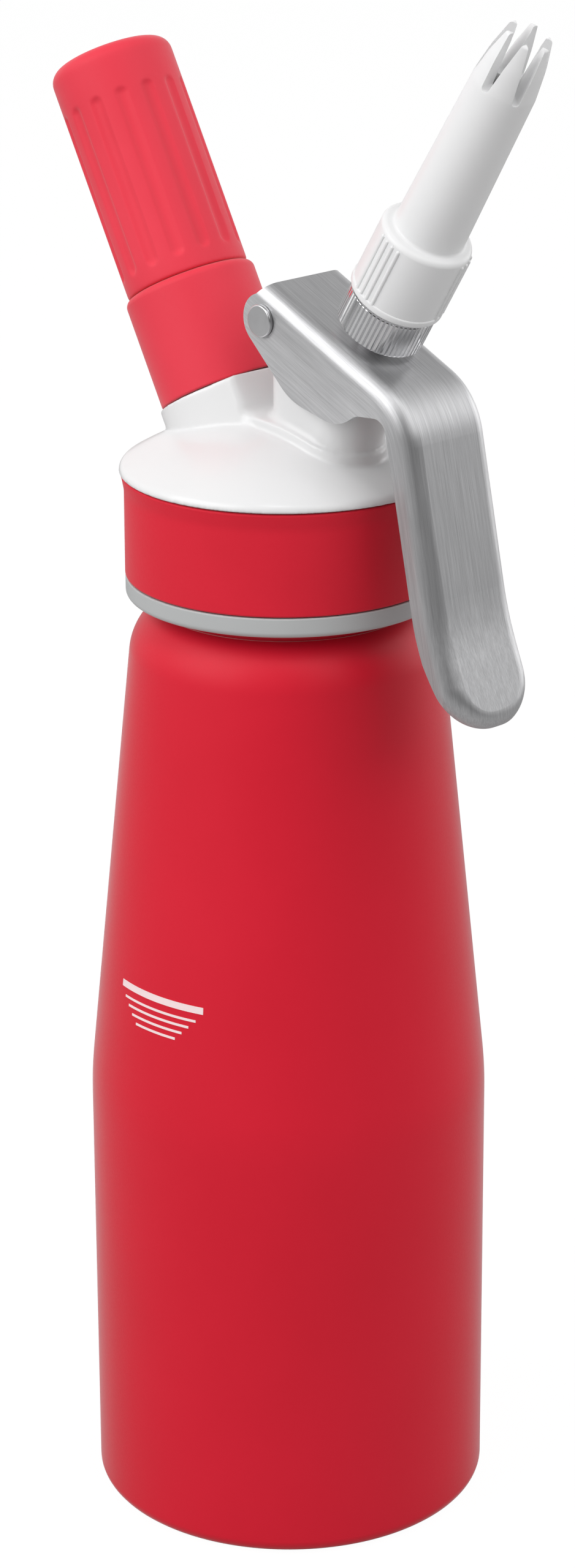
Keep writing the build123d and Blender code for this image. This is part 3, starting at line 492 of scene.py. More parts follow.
@dataclass(frozen=True)
class Brushed(Finish):
    """Sheet steel brushed along its run, from the plate around the bend to the handle."""

    bump: float = 0.25
    bump_height: float = 0.0001
    stretch: float = 0.5
    stretch_turn: float = 0.25

    def dress(self, sheet: NodeSheet, shader: bpy.types.Node) -> None:
        """Draw the brush lines in tone, gloss and height.

        Args:
            sheet: The material's node sheet.
            shader: Its Principled shader.
        """
        shader.inputs["Metallic"].default_value = 1.0
        shader.inputs["Anisotropic"].default_value = self.stretch
        shader.inputs["Anisotropic Rotation"].default_value = self.stretch_turn
        group = sheet.add("ShaderNodeGroup", node_tree=Effects.get("brushing"))
        unrolled, heading = self.place(sheet)
        sheet.link(unrolled, group.inputs["Vector"])
        turned = sheet.add("ShaderNodeVectorTransform", vector_type="VECTOR", convert_from="OBJECT",
                           convert_to="WORLD")
        sheet.link(heading, turned.inputs[0])
        sheet.link(turned.outputs[0], shader.inputs["Tangent"])
        self.vary(sheet, shader, group.outputs["Rough"], group.outputs["Shade"])
        sheet.bump(group.outputs["Height"], shader, self.bump, self.bump_height)

    def place(self, sheet: NodeSheet) -> tuple[Socket, Socket]:
        """Unroll the folded sheet into its run, its width and its depth.

        Args:
            sheet: The material's node sheet.

        Returns:
            The coordinates that the brush lines follow, and the lines' heading.
        """
        plate, handle = math.radians(LAYOUT.plate_tilt_deg), math.radians(90.0 - LAYOUT.handle_tilt_deg)
        spot = sheet.add("ShaderNodeVectorMath", operation="SUBTRACT")
        sheet.link(sheet.add("ShaderNodeTexCoord").outputs["Object"], spot.inputs[0])
        spot.inputs[1].default_value = (LAYOUT.bend[0] * MM, 0.0, LAYOUT.bend[1] * MM)
        # Distances from the bend's axis, along the plate and the handle and square to them.
        plate_run, plate_depth, handle_run, handle_depth = (
            sheet.along(spot.outputs[0], (math.cos(down), 0.0, -math.sin(down)))
            for down in (plate, plate - math.pi / 2, handle, handle - math.pi / 2))
        # Within the bend the run is the arc's length and the depth is the distance from the axis.
        turn = sheet.math("ARCTAN2", plate_run, plate_depth)
        bend_r = LAYOUT.bend_r * MM
        bend_run = sheet.math("MULTIPLY", turn, bend_r)
        bend_depth = sheet.math("SQRT", sheet.math("ADD", sheet.math("MULTIPLY", plate_run, plate_run),
                                                   sheet.math("MULTIPLY", plate_depth, plate_depth)))
        on_plate = sheet.math("LESS_THAN", plate_run, 0.0)
        on_handle = sheet.math("GREATER_THAN", handle_run, 0.0)
        past_bend = sheet.math("ADD", handle_run, bend_r * (handle - plate))
        run = sheet.pick(on_handle, sheet.pick(on_plate, bend_run, plate_run), past_bend)
        depth = sheet.pick(on_handle, sheet.pick(on_plate, bend_depth, plate_depth), handle_depth)
        width = sheet.add("ShaderNodeSeparateXYZ")
        sheet.link(spot.outputs[0], width.inputs[0])
        unrolled = sheet.add("ShaderNodeCombineXYZ")
        for source, socket in zip((run, width.outputs["Y"], depth), unrolled.inputs):
            sheet.link(source, socket)
        # The lines' angle below level: the plate's, the handle's, or between them in the bend.
        bent = sheet.spread(sheet.pick(on_handle, sheet.pick(on_plate, turn, 0.0), handle - plate),
                            plate, handle, 0.0, handle - plate)
        heading = sheet.add("ShaderNodeCombineXYZ")
        sheet.link(sheet.math("COSINE", bent), heading.inputs["X"])
        sheet.link(sheet.math("MULTIPLY", sheet.math("SINE", bent), -1.0), heading.inputs["Z"])
        return unrolled.outputs[0], heading.outputs[0]


class Palette(Enum):
    """Every finish of the dispenser."""

    ENAMEL = Skin("satin_red_enamel", srgb(219, 17, 46), 0.5, deep=srgb(213, 14, 42), bump=0.03,
                  grain=2200.0, mottle=25.0, sheen=0.65, sheen_rough=0.3, specular=0.3)
    SILICONE = Skin("red_silicone", srgb(221, 27, 51), 0.62, deep=srgb(215, 24, 47), bump=0.05,
                    grain=1600.0, mottle=45.0, sheen=0.25, sheen_rough=0.35, specular=0.28)
    HOLDER = Skin("pink_red_silicone", srgb(232, 58, 76), 0.6, deep=srgb(226, 52, 70), bump=0.05,
                  grain=1600.0, mottle=45.0, sheen=0.3, sheen_rough=0.4, specular=0.3)
    CAP = Skin("glossy_white_moulding", (0.80, 0.80, 0.80), 0.34, deep=(0.775, 0.775, 0.78), bump=0.01,
               grain=500.0, mottle=30.0, rough_spread=0.03, specular=0.4, under=0.06, coat=0.3,
               coat_rough=0.12)
    TIP = Skin("white_tip_plastic", (0.84, 0.84, 0.84), 0.36, deep=(0.82, 0.82, 0.825), bump=0.008,
               grain=700.0, mottle=30.0, rough_spread=0.03, specular=0.35, under=0.05)
    RING = Skin("pale_grey_ring", (0.48, 0.49, 0.49), 0.4, deep=(0.455, 0.465, 0.465), bump=0.015,
                grain=600.0, mottle=30.0, rough_spread=0.04, specular=0.4)
    WHITE_SEAL = Skin("white_seal_rubber", (0.72, 0.72, 0.70), 0.6, deep=(0.66, 0.66, 0.64))
    DARK_SEAL = Skin("black_seal_rubber", (0.02, 0.02, 0.02), 0.55, deep=(0.012, 0.012, 0.012))
    PRINT = Skin("white_print", srgb(250, 228, 228), 0.5, deep=srgb(246, 220, 221), bump=0.02)
    LEVER = Brushed("lengthwise_brushed_steel", (0.70, 0.70, 0.71), 0.46, deep=(0.50, 0.50, 0.51))
    RIVET = Metal("rivet_steel", (0.70, 0.70, 0.71), 0.3, deep=(0.63, 0.63, 0.64))
    KNURL = Metal("bright_knurled_steel", (0.88, 0.88, 0.89), 0.12, deep=(0.82, 0.82, 0.83),
                  rough_spread=0.02)
    TURNED = Metal("turned_steel", (0.6, 0.6, 0.61), 0.28, deep=(0.5, 0.5, 0.51))
    PLATED = Metal("plated_port_metal", (0.7, 0.7, 0.72), 0.2, deep=(0.62, 0.62, 0.64))
    ZINC = Metal("zinc_charger_steel", (0.58, 0.6, 0.63), 0.3, deep=(0.5, 0.51, 0.54), marks=90.0)

    def material(self) -> bpy.types.Material:
        """Return the finish's material, and build it at the first call."""
        found = bpy.data.materials.get(self.value.name)
        return found or self.value.build()


def dress(piece: Piece, finish: Palette) -> None:
    """Give a piece or a CAD node one finish.

    Args:
        piece: The object.
        finish: Its finish.
    """
    piece.data.materials.clear()
    piece.data.materials.append(finish.material())


# ---------------------------------------------------------------- studio


@dataclass(frozen=True)
class Studio:
    """Floor, lamps, world and camera.

    The room's strengths and the spans over which they change are for what shiny pieces mirror. The
    floor's sizes are in metres, and the camera's in the units that their names give.
    """

    azimuth_deg: float = 47.0
    pitch_deg: float = 20.007
    roll_deg: float = -0.302
    distance_mm: float = 754.7
    height_mm: float = 426.58
    aside_mm: float = 0.105
    lens: float = 92.606
    sensor: float = 36.0
    room: float = 0.5
    room_front: float = 0.08
    room_turn: Point = (-0.3, 0.3)
    ceiling: float = 0.35
    ceiling_rise: Point = (0.35, 0.8)
    floor_size: float = 6.0
    floor_drop: float = 0.0002
    floor_grey: float = 0.42
    floor_glow: float = 1.08
    floor_glow_share: float = 0.9
    aim: tuple[float, float, float] = (0.0, 0.0, 0.16)

    def build(self) -> None:
        """Build all of it."""
        bpy.context.scene.view_settings.view_transform = "Standard"
        self.make_camera()
        self.make_world()
        self.make_floor()
        self.make_lamps()

    def make_camera(self) -> None:
        """Place the camera at the product view."""
        data = bpy.data.cameras.new("product_camera")
        data.lens, data.sensor_width, data.sensor_fit = self.lens, self.sensor, "AUTO"
        data.clip_start, data.clip_end = 0.01, 20.0
        camera = bpy.data.objects.new("product_camera", data)
        turn = Matrix.Rotation(math.radians(self.azimuth_deg), 4, "Z")
        stand = turn @ Vector((self.aside_mm, -self.distance_mm, self.height_mm)) * MM
        tilt = Matrix.Rotation(math.radians(90.0 - self.pitch_deg), 4, "X")
        roll = Matrix.Rotation(math.radians(self.roll_deg), 4, "Z")
        camera.matrix_world = Matrix.Translation(stand) @ turn @ tilt @ roll
        bpy.context.scene.collection.objects.link(camera)
        bpy.context.scene.camera = camera

    def make_world(self) -> None:
        """Fill the surroundings with plain light, white where they are seen."""
        world = bpy.data.worlds.new("studio_world")
        sheet = NodeSheet.of(world)
        out = sheet.add("ShaderNodeOutputWorld")
        room = sheet.add("ShaderNodeBackground")
        room.inputs["Color"].default_value = (1.0, 1.0, 1.0, 1.0)
        path = sheet.add("ShaderNodeLightPath")
        mirrored = sheet.math("MAXIMUM", path.outputs["Is Glossy Ray"], path.outputs["Is Transmission Ray"])
        unseen = sheet.pick(mirrored, self.room, self.mirrored_room(sheet))
        sheet.link(sheet.pick(path.outputs["Is Camera Ray"], unseen, 1.0), room.inputs["Strength"])
        sheet.link(room.outputs[0], out.inputs["Surface"])
        bpy.context.scene.world = world

    def mirrored_room(self, sheet: NodeSheet) -> Socket:
        """Return what shiny pieces mirror: the white backdrop behind, the dim room in front.

        Args:
            sheet: The world's node sheet.

        Returns:
            The strength's socket.
        """
        turn = math.radians(self.azimuth_deg)
        way = sheet.add("ShaderNodeTexCoord").outputs["Generated"]
        facing = sheet.along(way, (math.sin(turn), -math.cos(turn), 0.0))
        level = sheet.spread(facing, 1.0, self.room_front, *self.room_turn)
        above = sheet.along(way, (0.0, 0.0, 1.0))
        return sheet.math("MULTIPLY", level, sheet.spread(above, 1.0, self.ceiling, *self.ceiling_rise))

    def make_floor(self) -> None:
        """Lay a plain pale floor under the bottle."""
        deselect()
        bpy.ops.mesh.primitive_plane_add(size=self.floor_size, location=(0.0, 0.0, -self.floor_drop))
        floor = bpy.context.object
        floor.name = "studio_floor"
        material = bpy.data.materials.new("pale_floor")
        sheet = NodeSheet.of(material)
        out = sheet.add("ShaderNodeOutputMaterial")
        matt = sheet.add("ShaderNodeBsdfDiffuse")
        matt.inputs["Color"].default_value = (self.floor_grey, self.floor_grey, self.floor_grey, 1.0)
        glow = sheet.add("ShaderNodeEmission")
        glow.inputs["Strength"].default_value = self.floor_glow
        mix = sheet.add("ShaderNodeMixShader")
        seen = sheet.add("ShaderNodeLightPath").outputs["Is Camera Ray"]
        share = sheet.math("MULTIPLY", seen, self.floor_glow_share)
        for source, socket in zip((share, matt.outputs[0], glow.outputs[0]), mix.inputs):
            sheet.link(source, socket)
        sheet.link(mix.outputs[0], out.inputs["Surface"])
        floor.data.materials.append(material)

    def make_lamps(self) -> None:
        """Hang soft lamps to the left, to the right, behind and above."""
        self.lamp("left_softbox", -64.0, 33.0, 1.5, (1.3, 1.1), 14.0)
        self.lamp("right_softbox", 50.0, 46.0, 1.5, (1.3, 1.3), 7.8)
        self.lamp("rim_softbox", 118.0, 8.0, 1.5, (0.6, 1.2), 4.2)
        self.lamp("top_softbox", -10.0, 66.0, 1.4, (0.3, 0.3), 1.5)

    def lamp(self, name: str, aside_deg: float, up_deg: float, away: float, size: Point,
             watts: float) -> None:
        """Hang one area lamp that faces the dispenser.

        Args:
            name: The lamp's name.
            aside_deg: Angle from the camera's side of the object, to the right.
            up_deg: Angle above the floor.
            away: Distance in metres.
            size: Width and height in metres.
            watts: Power.
        """
        data = bpy.data.lights.new(name, "AREA")
        data.shape, data.size, data.size_y, data.energy = "RECTANGLE", size[0], size[1], watts
        lamp = bpy.data.objects.new(name, data)
        turn = math.radians(self.azimuth_deg + aside_deg)
        rise = math.radians(up_deg)
        side = Vector((math.sin(turn) * math.cos(rise), -math.cos(turn) * math.cos(rise), math.sin(rise)))
        facing = side.to_track_quat("Z", "Y").to_matrix().to_4x4()
        lamp.matrix_world = Matrix.Translation(Vector(self.aim) + side * away) @ facing
        bpy.context.scene.collection.objects.link(lamp)


def deselect() -> None:
    """Leave edit mode and clear the selection."""
    if bpy.context.object and bpy.context.object.mode != "OBJECT":
        bpy.ops.object.mode_set(mode="OBJECT")
    bpy.ops.object.select_all(action="DESELECT")


# ---------------------------------------------------------------- modelling calls


@dataclass(frozen=True)
class Corner:
    """A corner of a drawn outline, in millimetres; a round of zero leaves it sharp."""

    r: float
    z: float
    round: float = 0.0
    steps: int = 5


@dataclass(frozen=True)
class Stage:
    """One cylinder of a bore, in millimetres along its axis."""

    r: float
    low: float
    high: float


def rounded(corners: Sequence[Corner], closed: bool = True) -> list[Point]:
    """Turn corners into points, with arcs where a corner is rounded.

    Args:
        corners: The outline's corners in order.
        closed: Whether the last corner joins the first.

    Returns:
        The points in order, in millimetres.
    """
    points: list[Point] = []
    for index, corner in enumerate(corners):
        here = Vector((corner.r, corner.z))
        inside = closed or 0 < index < len(corners) - 1
        if not inside or corner.round == 0.0:
            points.append((here.x, here.y))
            continue
        before, after = corners[index - 1], corners[(index + 1) % len(corners)]
        back = (Vector((before.r, before.z)) - here).normalized()
        on = (Vector((after.r, after.z)) - here).normalized()
        half = back.angle(on) / 2
        centre = here + (back + on).normalized() * corner.round / math.sin(half)
        start = here + back * corner.round / math.tan(half) - centre
        end = here + on * corner.round / math.tan(half) - centre
        sweep = start.angle_signed(end)
        for step in range(corner.steps + 1):
            arm = start.copy()
            arm.rotate(Matrix.Rotation(-sweep * step / corner.steps, 2))
            points.append((centre.x + arm.x, centre.y + arm.y))
    return points


def arc(centre: Point, radius: float, start_deg: float, end_deg: float, steps: int) -> list[Corner]:
    """Return sharp corners along an arc.

    Args:
        centre: Centre of the arc.
        radius: Its radius.
        start_deg: Angle of its first point from the outline's first axis.
        end_deg: Angle of its last point.
        steps: Number of runs.

    Returns:
        The corners, both ends included.
    """
    found = []
    for step in range(steps + 1):
        turn = math.radians(start_deg + (end_deg - start_deg) * step / steps)
        found.append(Corner(centre[0] + radius * math.cos(turn), centre[1] + radius * math.sin(turn)))
    return found


class Bench:
    """Edit-mode calls on one piece at a time, with sizes in millimetres."""

    # Points closer than this become one.
    MERGE = 0.002 * MM
    # How close to a level or a line still counts as on it.
    NEAR = 0.01
    # Faces in one turn of a thread or a coil.
    WIND_STEPS = 72
    # A thread's ridge: half its width at the foot and at the top as shares of the pitch, and how
    # deep its foot is sunk.
    RIDGE_FOOT = 0.34
    RIDGE_TOP = 0.12
    RIDGE_SUNK = 0.2

    @staticmethod
    def focus(piece: Piece) -> None:
        """Select one piece alone and make it the active one.

        Args:
            piece: The piece.
        """
        deselect()
        piece.select_set(True)
        bpy.context.view_layer.objects.active = piece

    @staticmethod
    def open(piece: Piece) -> None:
        """Open one piece in edit mode with everything selected.

        Args:
            piece: The piece.
        """
        Bench.focus(piece)
        bpy.ops.object.mode_set(mode="EDIT")
        bpy.ops.mesh.select_mode(type="VERT")
        bpy.ops.mesh.select_all(action="SELECT")

    @staticmethod
    def select_where(piece: Piece, chosen: Callable[[Vector], bool]) -> None:
        """Open a piece with only those points selected that a rule picks by place.

        Args:
            piece: The piece.
            chosen: Rule on a point in millimetres.
        """
        Bench.open(piece)
        bpy.ops.mesh.select_all(action="DESELECT")
        bpy.ops.object.mode_set(mode="OBJECT")
        for vertex in piece.data.vertices:
            vertex.select = chosen(vertex.co / MM)
        bpy.ops.object.mode_set(mode="EDIT")

    @staticmethod
    def close() -> None:
        """Merge what coincides, turn the faces outwards and leave edit mode."""
        bpy.ops.mesh.select_all(action="SELECT")
        bpy.ops.mesh.remove_doubles(threshold=Bench.MERGE)
        bpy.ops.mesh.normals_make_consistent(inside=False)
        bpy.ops.object.mode_set(mode="OBJECT")

    @staticmethod
    def cap_ends(piece: Piece) -> None:
        """Fill a swept piece's two open ends.

        Args:
            piece: The piece.
        """
        Bench.open(piece)
        bpy.ops.mesh.select_all(action="DESELECT")
        bpy.ops.mesh.select_non_manifold()
        bpy.ops.mesh.fill()
        Bench.close()

    @staticmethod
    def freeze(piece: Piece) -> None:
        """Apply a piece's place to its mesh, so that its object sits at the origin."""
        Bench.focus(piece)
        bpy.ops.object.transform_apply(location=True, rotation=True, scale=True)

    @staticmethod
    def spot(name: str) -> Piece:
        """Add a piece that is one point at the origin and leave it open in edit mode.

        Args:
            name: The piece's name.

        Returns:
            The piece.
        """
        deselect()
        bpy.ops.mesh.primitive_circle_add(vertices=3, radius=MM)
        piece = bpy.context.object
        piece.name = piece.data.name = name
        Bench.open(piece)
        bpy.ops.mesh.merge(type="CENTER")
        return piece

    @staticmethod
    def draw(points: Sequence[Point], closed: bool) -> None:
        """Extrude the open piece's point along an outline in the XZ plane.

        Args:
            points: Points of the outline.
            closed: Whether it returns to its first point.
        """
        bpy.ops.transform.translate(value=(points[0][0] * MM, 0.0, points[0][1] * MM))
        route = list(points) + ([points[0]] if closed else [])
        for last, point in zip(route, route[1:]):
            step = ((point[0] - last[0]) * MM, 0.0, (point[1] - last[1]) * MM)
            bpy.ops.mesh.extrude_region_move(TRANSFORM_OT_translate={"value": step})
        bpy.ops.mesh.select_all(action="SELECT")
        bpy.ops.mesh.remove_doubles(threshold=Bench.MERGE)

    @staticmethod
    def turn(name: str, corners: Sequence[Corner], steps: int, closed: bool = True) -> Piece:
        """Round an outline's corners and turn it about the Z axis.

        Args:
            name: The piece's name.
            corners: Radius and height of the outline's corners.
            steps: Faces around.
            closed: Whether the outline is a closed loop; if not, it starts and ends on the axis.

        Returns:
            The piece.
        """
        return Bench.lathe(name, rounded(corners, closed), steps, closed)

    @staticmethod
    def drill(name: str, steps: int, *stages: Stage) -> Piece:
        """Turn the tool for a round bore of one or more stages.

        Args:
            name: The tool's name.
            steps: Faces around.
            *stages: The stages from below.

        Returns:
            The tool.
        """
        points = [(0.0, stages[0].low)]
        for stage in stages:
            points += [(stage.r, stage.low), (stage.r, stage.high)]
        points.append((0.0, stages[-1].high))
        return Bench.lathe(name, points, steps, closed=False)

    @staticmethod
    def lathe(name: str, points: Sequence[Point], steps: int = 128, closed: bool = True,
              start_deg: float = 0.0, sweep_deg: float = 360.0) -> Piece:
        """Turn an outline about the Z axis.

        Args:
            name: The piece's name.
            points: Radius and height of the outline's points.
            steps: Faces around.
            closed: Whether the outline is a closed loop.
            start_deg: Angle at which the sweep starts.
            sweep_deg: How far it goes round.

        Returns:
            The piece.
        """
        piece = Bench.spot(name)
        Bench.draw(points, closed)
        if start_deg:
            bpy.ops.transform.rotate(value=-math.radians(start_deg), orient_axis="Z",
                                     center_override=(0.0, 0.0, 0.0))
        bpy.ops.mesh.spin(steps=steps, angle=-math.radians(sweep_deg), center=(0.0, 0.0, 0.0),
                          axis=(0.0, 0.0, 1.0))
        Bench.close()
        return piece

    @staticmethod
    def prism(name: str, points: Sequence[Point], low: float, high: float) -> Piece:
        """Extrude an outline in the XZ plane along Y.

        Args:
            name: The piece's name.
            points: X and Z of the outline's points.
            low: Y of the first end.
            high: Y of the other end.

        Returns:
            The piece.
        """
        piece = Bench.spot(name)
        Bench.draw(points, True)
        bpy.ops.mesh.edge_face_add()
        bpy.ops.transform.translate(value=(0.0, low * MM, 0.0))
        bpy.ops.mesh.extrude_region_move(TRANSFORM_OT_translate={"value": (0.0, (high - low) * MM, 0.0)})
        Bench.close()
        return piece

    @staticmethod
    def place(piece: Piece, matrix: Matrix) -> Piece:
        """Move a piece by a matrix and keep its object at the origin.

        Args:
            piece: The piece.
            matrix: Where it goes.

        Returns:
            The same piece.
        """
        piece.matrix_world = matrix
        Bench.freeze(piece)
        return piece

    @staticmethod
    def apply(piece: Piece, kind: str, **values: object) -> None:
        """Add a modifier, set it and apply it.

        Args:
            piece: The piece.
            kind: The modifier's type.
            **values: Its settings.
        """
        Bench.focus(piece)
        bpy.ops.object.modifier_add(type=kind)
        modifier = piece.modifiers[-1]
        for key, value in values.items():
            setattr(modifier, key, value)
        bpy.ops.object.modifier_apply(modifier=modifier.name)

    @staticmethod
    def join(pieces: Sequence[Piece]) -> Piece:
        """Join pieces into the first one.

        Args:
            pieces: The pieces.

        Returns:
            The first piece, which holds them all.
        """
        deselect()
        for piece in pieces:
            piece.select_set(True)
        bpy.context.view_layer.objects.active = pieces[0]
        bpy.ops.object.join()
        return pieces[0]

    @staticmethod
    def cut(piece: Piece, tool: Piece, operation: str = "DIFFERENCE", solver: str = "MANIFOLD") -> None:
        """Cut a piece with a tool and throw the tool away.

        Args:
            piece: The piece that is cut.
            tool: The closed shape that cuts it.
            operation: The boolean's operation.
            solver: The boolean's solver.
        """
        Bench.apply(piece, "BOOLEAN", object=tool, operation=operation, solver=solver)
        spare = tool.data
        bpy.data.objects.remove(tool)
        bpy.data.meshes.remove(spare)

    @staticmethod
    def around(piece: Piece, count: int, first_deg: float = 0.0) -> list[Piece]:
        """Copy a piece around the Z axis, each copy with its own mesh.

        Args:
            piece: The piece that is copied and kept as the first.
            count: How many there are in the end.
            first_deg: Angle of the first.

        Returns:
            All the pieces.
        """
        pieces = [piece]
        for _ in range(1, count):
            twin = piece.copy()
            twin.data = piece.data.copy()
            bpy.context.scene.collection.objects.link(twin)
            pieces.append(twin)
        for number, one in enumerate(pieces):
            Bench.place(one, Matrix.Rotation(math.radians(first_deg + 360.0 * number / count), 4, "Z"))
        return pieces

    @staticmethod
    def melt(piece: Piece, voxel: float) -> None:
        """Make overlapping shapes one skin, with an even mesh of a given size."""
        Bench.apply(piece, "REMESH", mode="VOXEL", voxel_size=voxel * MM, adaptivity=0.0)

    @staticmethod
    def soften(piece: Piece) -> None:
        """Soften the steps and edges of a melted piece."""
        Bench.apply(piece, "SMOOTH", factor=0.5, iterations=4)

    @staticmethod
    def smooth_where(piece: Piece, chosen: Callable[[Vector], bool], repeat: int) -> None:
        """Smooth the part of a mesh that a rule picks by place.

        Args:
            piece: The piece.
            chosen: Rule on a point in millimetres.
            repeat: How often the chosen points are smoothed.
        """
        Bench.select_where(piece, chosen)
        bpy.ops.mesh.vertices_smooth(factor=0.5, repeat=repeat)
        bpy.ops.object.mode_set(mode="OBJECT")

    @staticmethod
    def shade(piece: Piece, angle_deg: float = 35.0, weighted: bool = True) -> None:
        """Shade a piece smooth, with edges kept where faces turn more than an angle.

        Args:
            piece: The piece.
            angle_deg: The angle.
            weighted: Whether large faces keep their own normals.
        """
        Bench.focus(piece)
        bpy.ops.object.shade_smooth_by_angle(angle=math.radians(angle_deg))
        if weighted:
            Bench.apply(piece, "WEIGHTED_NORMAL", mode="FACE_AREA", weight=50, keep_sharp=True)

    @staticmethod
    def thread(name: str, root: float, crest: float, pitch: float, low: float, turns: int) -> Piece:
        """Wind a thread's ridge around the Z axis.

        Args:
            name: The piece's name.
            root: Radius at the foot of the ridge.
            crest: Radius at its top.
            pitch: Rise in one turn.
            low: Height at which it starts.
            turns: Number of whole turns.

        Returns:
            The piece.
        """
        foot, top = Bench.RIDGE_FOOT * pitch, Bench.RIDGE_TOP * pitch
        sunk = root - Bench.RIDGE_SUNK
        section = [(sunk, -foot), (crest, -top), (crest, top), (sunk, foot)]
        piece = Bench.wind(name, section, pitch, turns)
        return Bench.place(piece, Matrix.Translation((0.0, 0.0, low * MM)))

    @staticmethod
    def wind(name: str, section: Sequence[Point], pitch: float, turns: float) -> Piece:
        """Wind a closed section up the Z axis.

        Args:
            name: The piece's name.
            section: Radius and height of the section's points.
            pitch: Rise in one turn.
            turns: Number of turns.

        Returns:
            The piece.
        """
        piece = Bench.spot(name)
        Bench.draw(section, True)
        bpy.ops.object.mode_set(mode="OBJECT")
        steps = round(Bench.WIND_STEPS * turns)
        Bench.apply(piece, "SCREW", axis="Z", angle=math.tau * turns, screw_offset=pitch * turns * MM,
                    iterations=1, steps=steps, render_steps=steps, use_normal_calculate=True)
        Bench.cap_ends(piece)
        return piece


class Assembly:
    """What every sub-assembly can do with its pieces."""

    def finish(self, piece: Piece, finish: Palette, body: str, slot: str, stands_for: Sequence[str] = (),
               angle_deg: float = 35.0, weighted: bool = True) -> Piece:
        """Shade and dress a piece, and tie it to the frame.

        Args:
            piece: The piece.
            finish: Its finish.
            body: The body that it rides on.
            slot: Not used.
            stands_for: CAD nodes that it replaces.
            angle_deg: Faces that turn by more than this keep an edge.
            weighted: Whether large faces keep their own normals.

        Returns:
            The same piece.
        """
        Bench.shade(piece, angle_deg, weighted)
        dress(piece, finish)
        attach(piece, body)
        if stands_for:
            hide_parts(*stands_for)
        LOG.info("%s: %d faces", piece.name, len(piece.data.polygons))
        return piece


# ---------------------------------------------------------------- sub-assemblies


@dataclass(frozen=True)
class Mark:
    """One printed fill mark: its lower and upper edge, and its ends' angles from the lever's side."""

    low: float
    high: float
    start_deg: float
    end_deg: float


@dataclass
class Bottle(Assembly):
    """The enamelled bottle: shell, neck thread and fill marks."""

    around: int = 192
    radius: float = 40.0
    wall: float = 1.6
    straight: float = 91.0
    straight_round: float = 90.0
    taper_top: Point = (30.85, 180.6)
    shoulder_round: float = 12.0
    neck_r: float = 24.5
    neck_wall: float = 2.0
    neck_blend: float = 0.6
    neck_lap: float = 0.1
    foot_round: float = 3.0
    foot_in_r: float = 34.0
    dish_r: float = 31.2
    dish_z: float = 1.4
    floor_z: float = 4.0
    thread_low: float = 200.0
    thread_pitch: float = 3.4
    thread_depth: float = 1.2
    thread_turns: int = 3
    mark_proud: float = 0.03
    mark_t: float = 0.03
    mark_steps: int = 24
    marks: tuple[Mark, ...] = (
        Mark(116.35, 117.75, -103.6, -69.2),
        Mark(114.45, 114.95, -101.4, -71.6),
        Mark(112.95, 113.45, -99.3, -74.0),
        Mark(111.45, 111.95, -97.2, -76.3),
        Mark(109.95, 110.45, -95.0, -78.6),
    )

    def build(self) -> None:
        """Build the shell, its thread and its marks."""
        self.make_shell()
        self.make_thread()
        for number, mark in enumerate(self.marks, 1):
            self.make_mark(number, mark)

    def slope(self) -> float:
        """Return the taper's angle from upright, in degrees."""
        return math.degrees(math.atan2(self.radius - self.taper_top[0], self.taper_top[1] - self.straight))

    def make_shell(self) -> None:
        """Turn the drawn shell, inside and out."""
        lean = self.slope()
        turn = math.radians(lean)
        outer, inner = self.shoulder_round, self.shoulder_round - self.wall
        neck_in_r = self.neck_r - self.neck_wall
        hub = (self.taper_top[0] - outer * math.cos(turn), self.taper_top[1] - outer * math.sin(turn))
        neck_turn = math.acos((self.neck_r + self.neck_blend - hub[0]) / outer)
        in_turn = math.acos((neck_in_r + self.neck_blend - hub[0]) / inner)
        corners = [Corner(0.0, self.dish_z), Corner(self.dish_r, self.dish_z, 0.6),
                   Corner(self.foot_in_r, 0.0, 0.5), Corner(self.radius, 0.0, self.foot_round, 8),
                   Corner(self.radius, self.straight, self.straight_round, 10)]
        corners += arc(hub, outer, lean, math.degrees(neck_turn), 20)
        corners += [Corner(self.neck_r, hub[1] + outer * math.sin(neck_turn) - self.neck_lap),
                    Corner(self.neck_r, LAYOUT.lip_z, 0.8), Corner(neck_in_r, LAYOUT.lip_z, 0.4)]
        corners += arc(hub, inner, math.degrees(in_turn), lean, 14)
        in_r = self.radius - self.wall
        corners += [Corner(in_r, self.straight, self.straight_round, 10),
                    Corner(in_r, self.floor_z, self.foot_round, 6), Corner(0.0, self.floor_z)]
        shell = Bench.turn("bottle_shell", corners, self.around, closed=False)
        self.finish(shell, Palette.ENAMEL, "bottle", "bottle_red", ["bottle"])

    def make_thread(self) -> None:
        """Wind the neck's coarse thread."""
        ridge = Bench.thread("bottle_neck_thread", self.neck_r, self.neck_r + self.thread_depth,
                             self.thread_pitch, self.thread_low, self.thread_turns)
        self.finish(ridge, Palette.ENAMEL, "bottle", "bottle_red")

    def make_mark(self, number: int, mark: Mark) -> None:
        """Print one fill mark on the taper.

        Args:
            number: Counted from the top.
            mark: Its edges and ends.
        """
        lean = math.tan(math.radians(self.slope()))
        route = ((mark.low, 0.0), (mark.high, 0.0), (mark.high, self.mark_t), (mark.low, self.mark_t))
        points = []
        for level, out in route:
            points.append((self.radius - (level - self.straight) * lean + self.mark_proud + out, level))
        piece = Bench.lathe(f"fill_mark_{number}", points, self.mark_steps, start_deg=mark.start_deg,
                            sweep_deg=mark.end_deg - mark.start_deg)
        Bench.cap_ends(piece)
        self.finish(piece, Palette.PRINT, "bottle", "bottle_red", weighted=False)


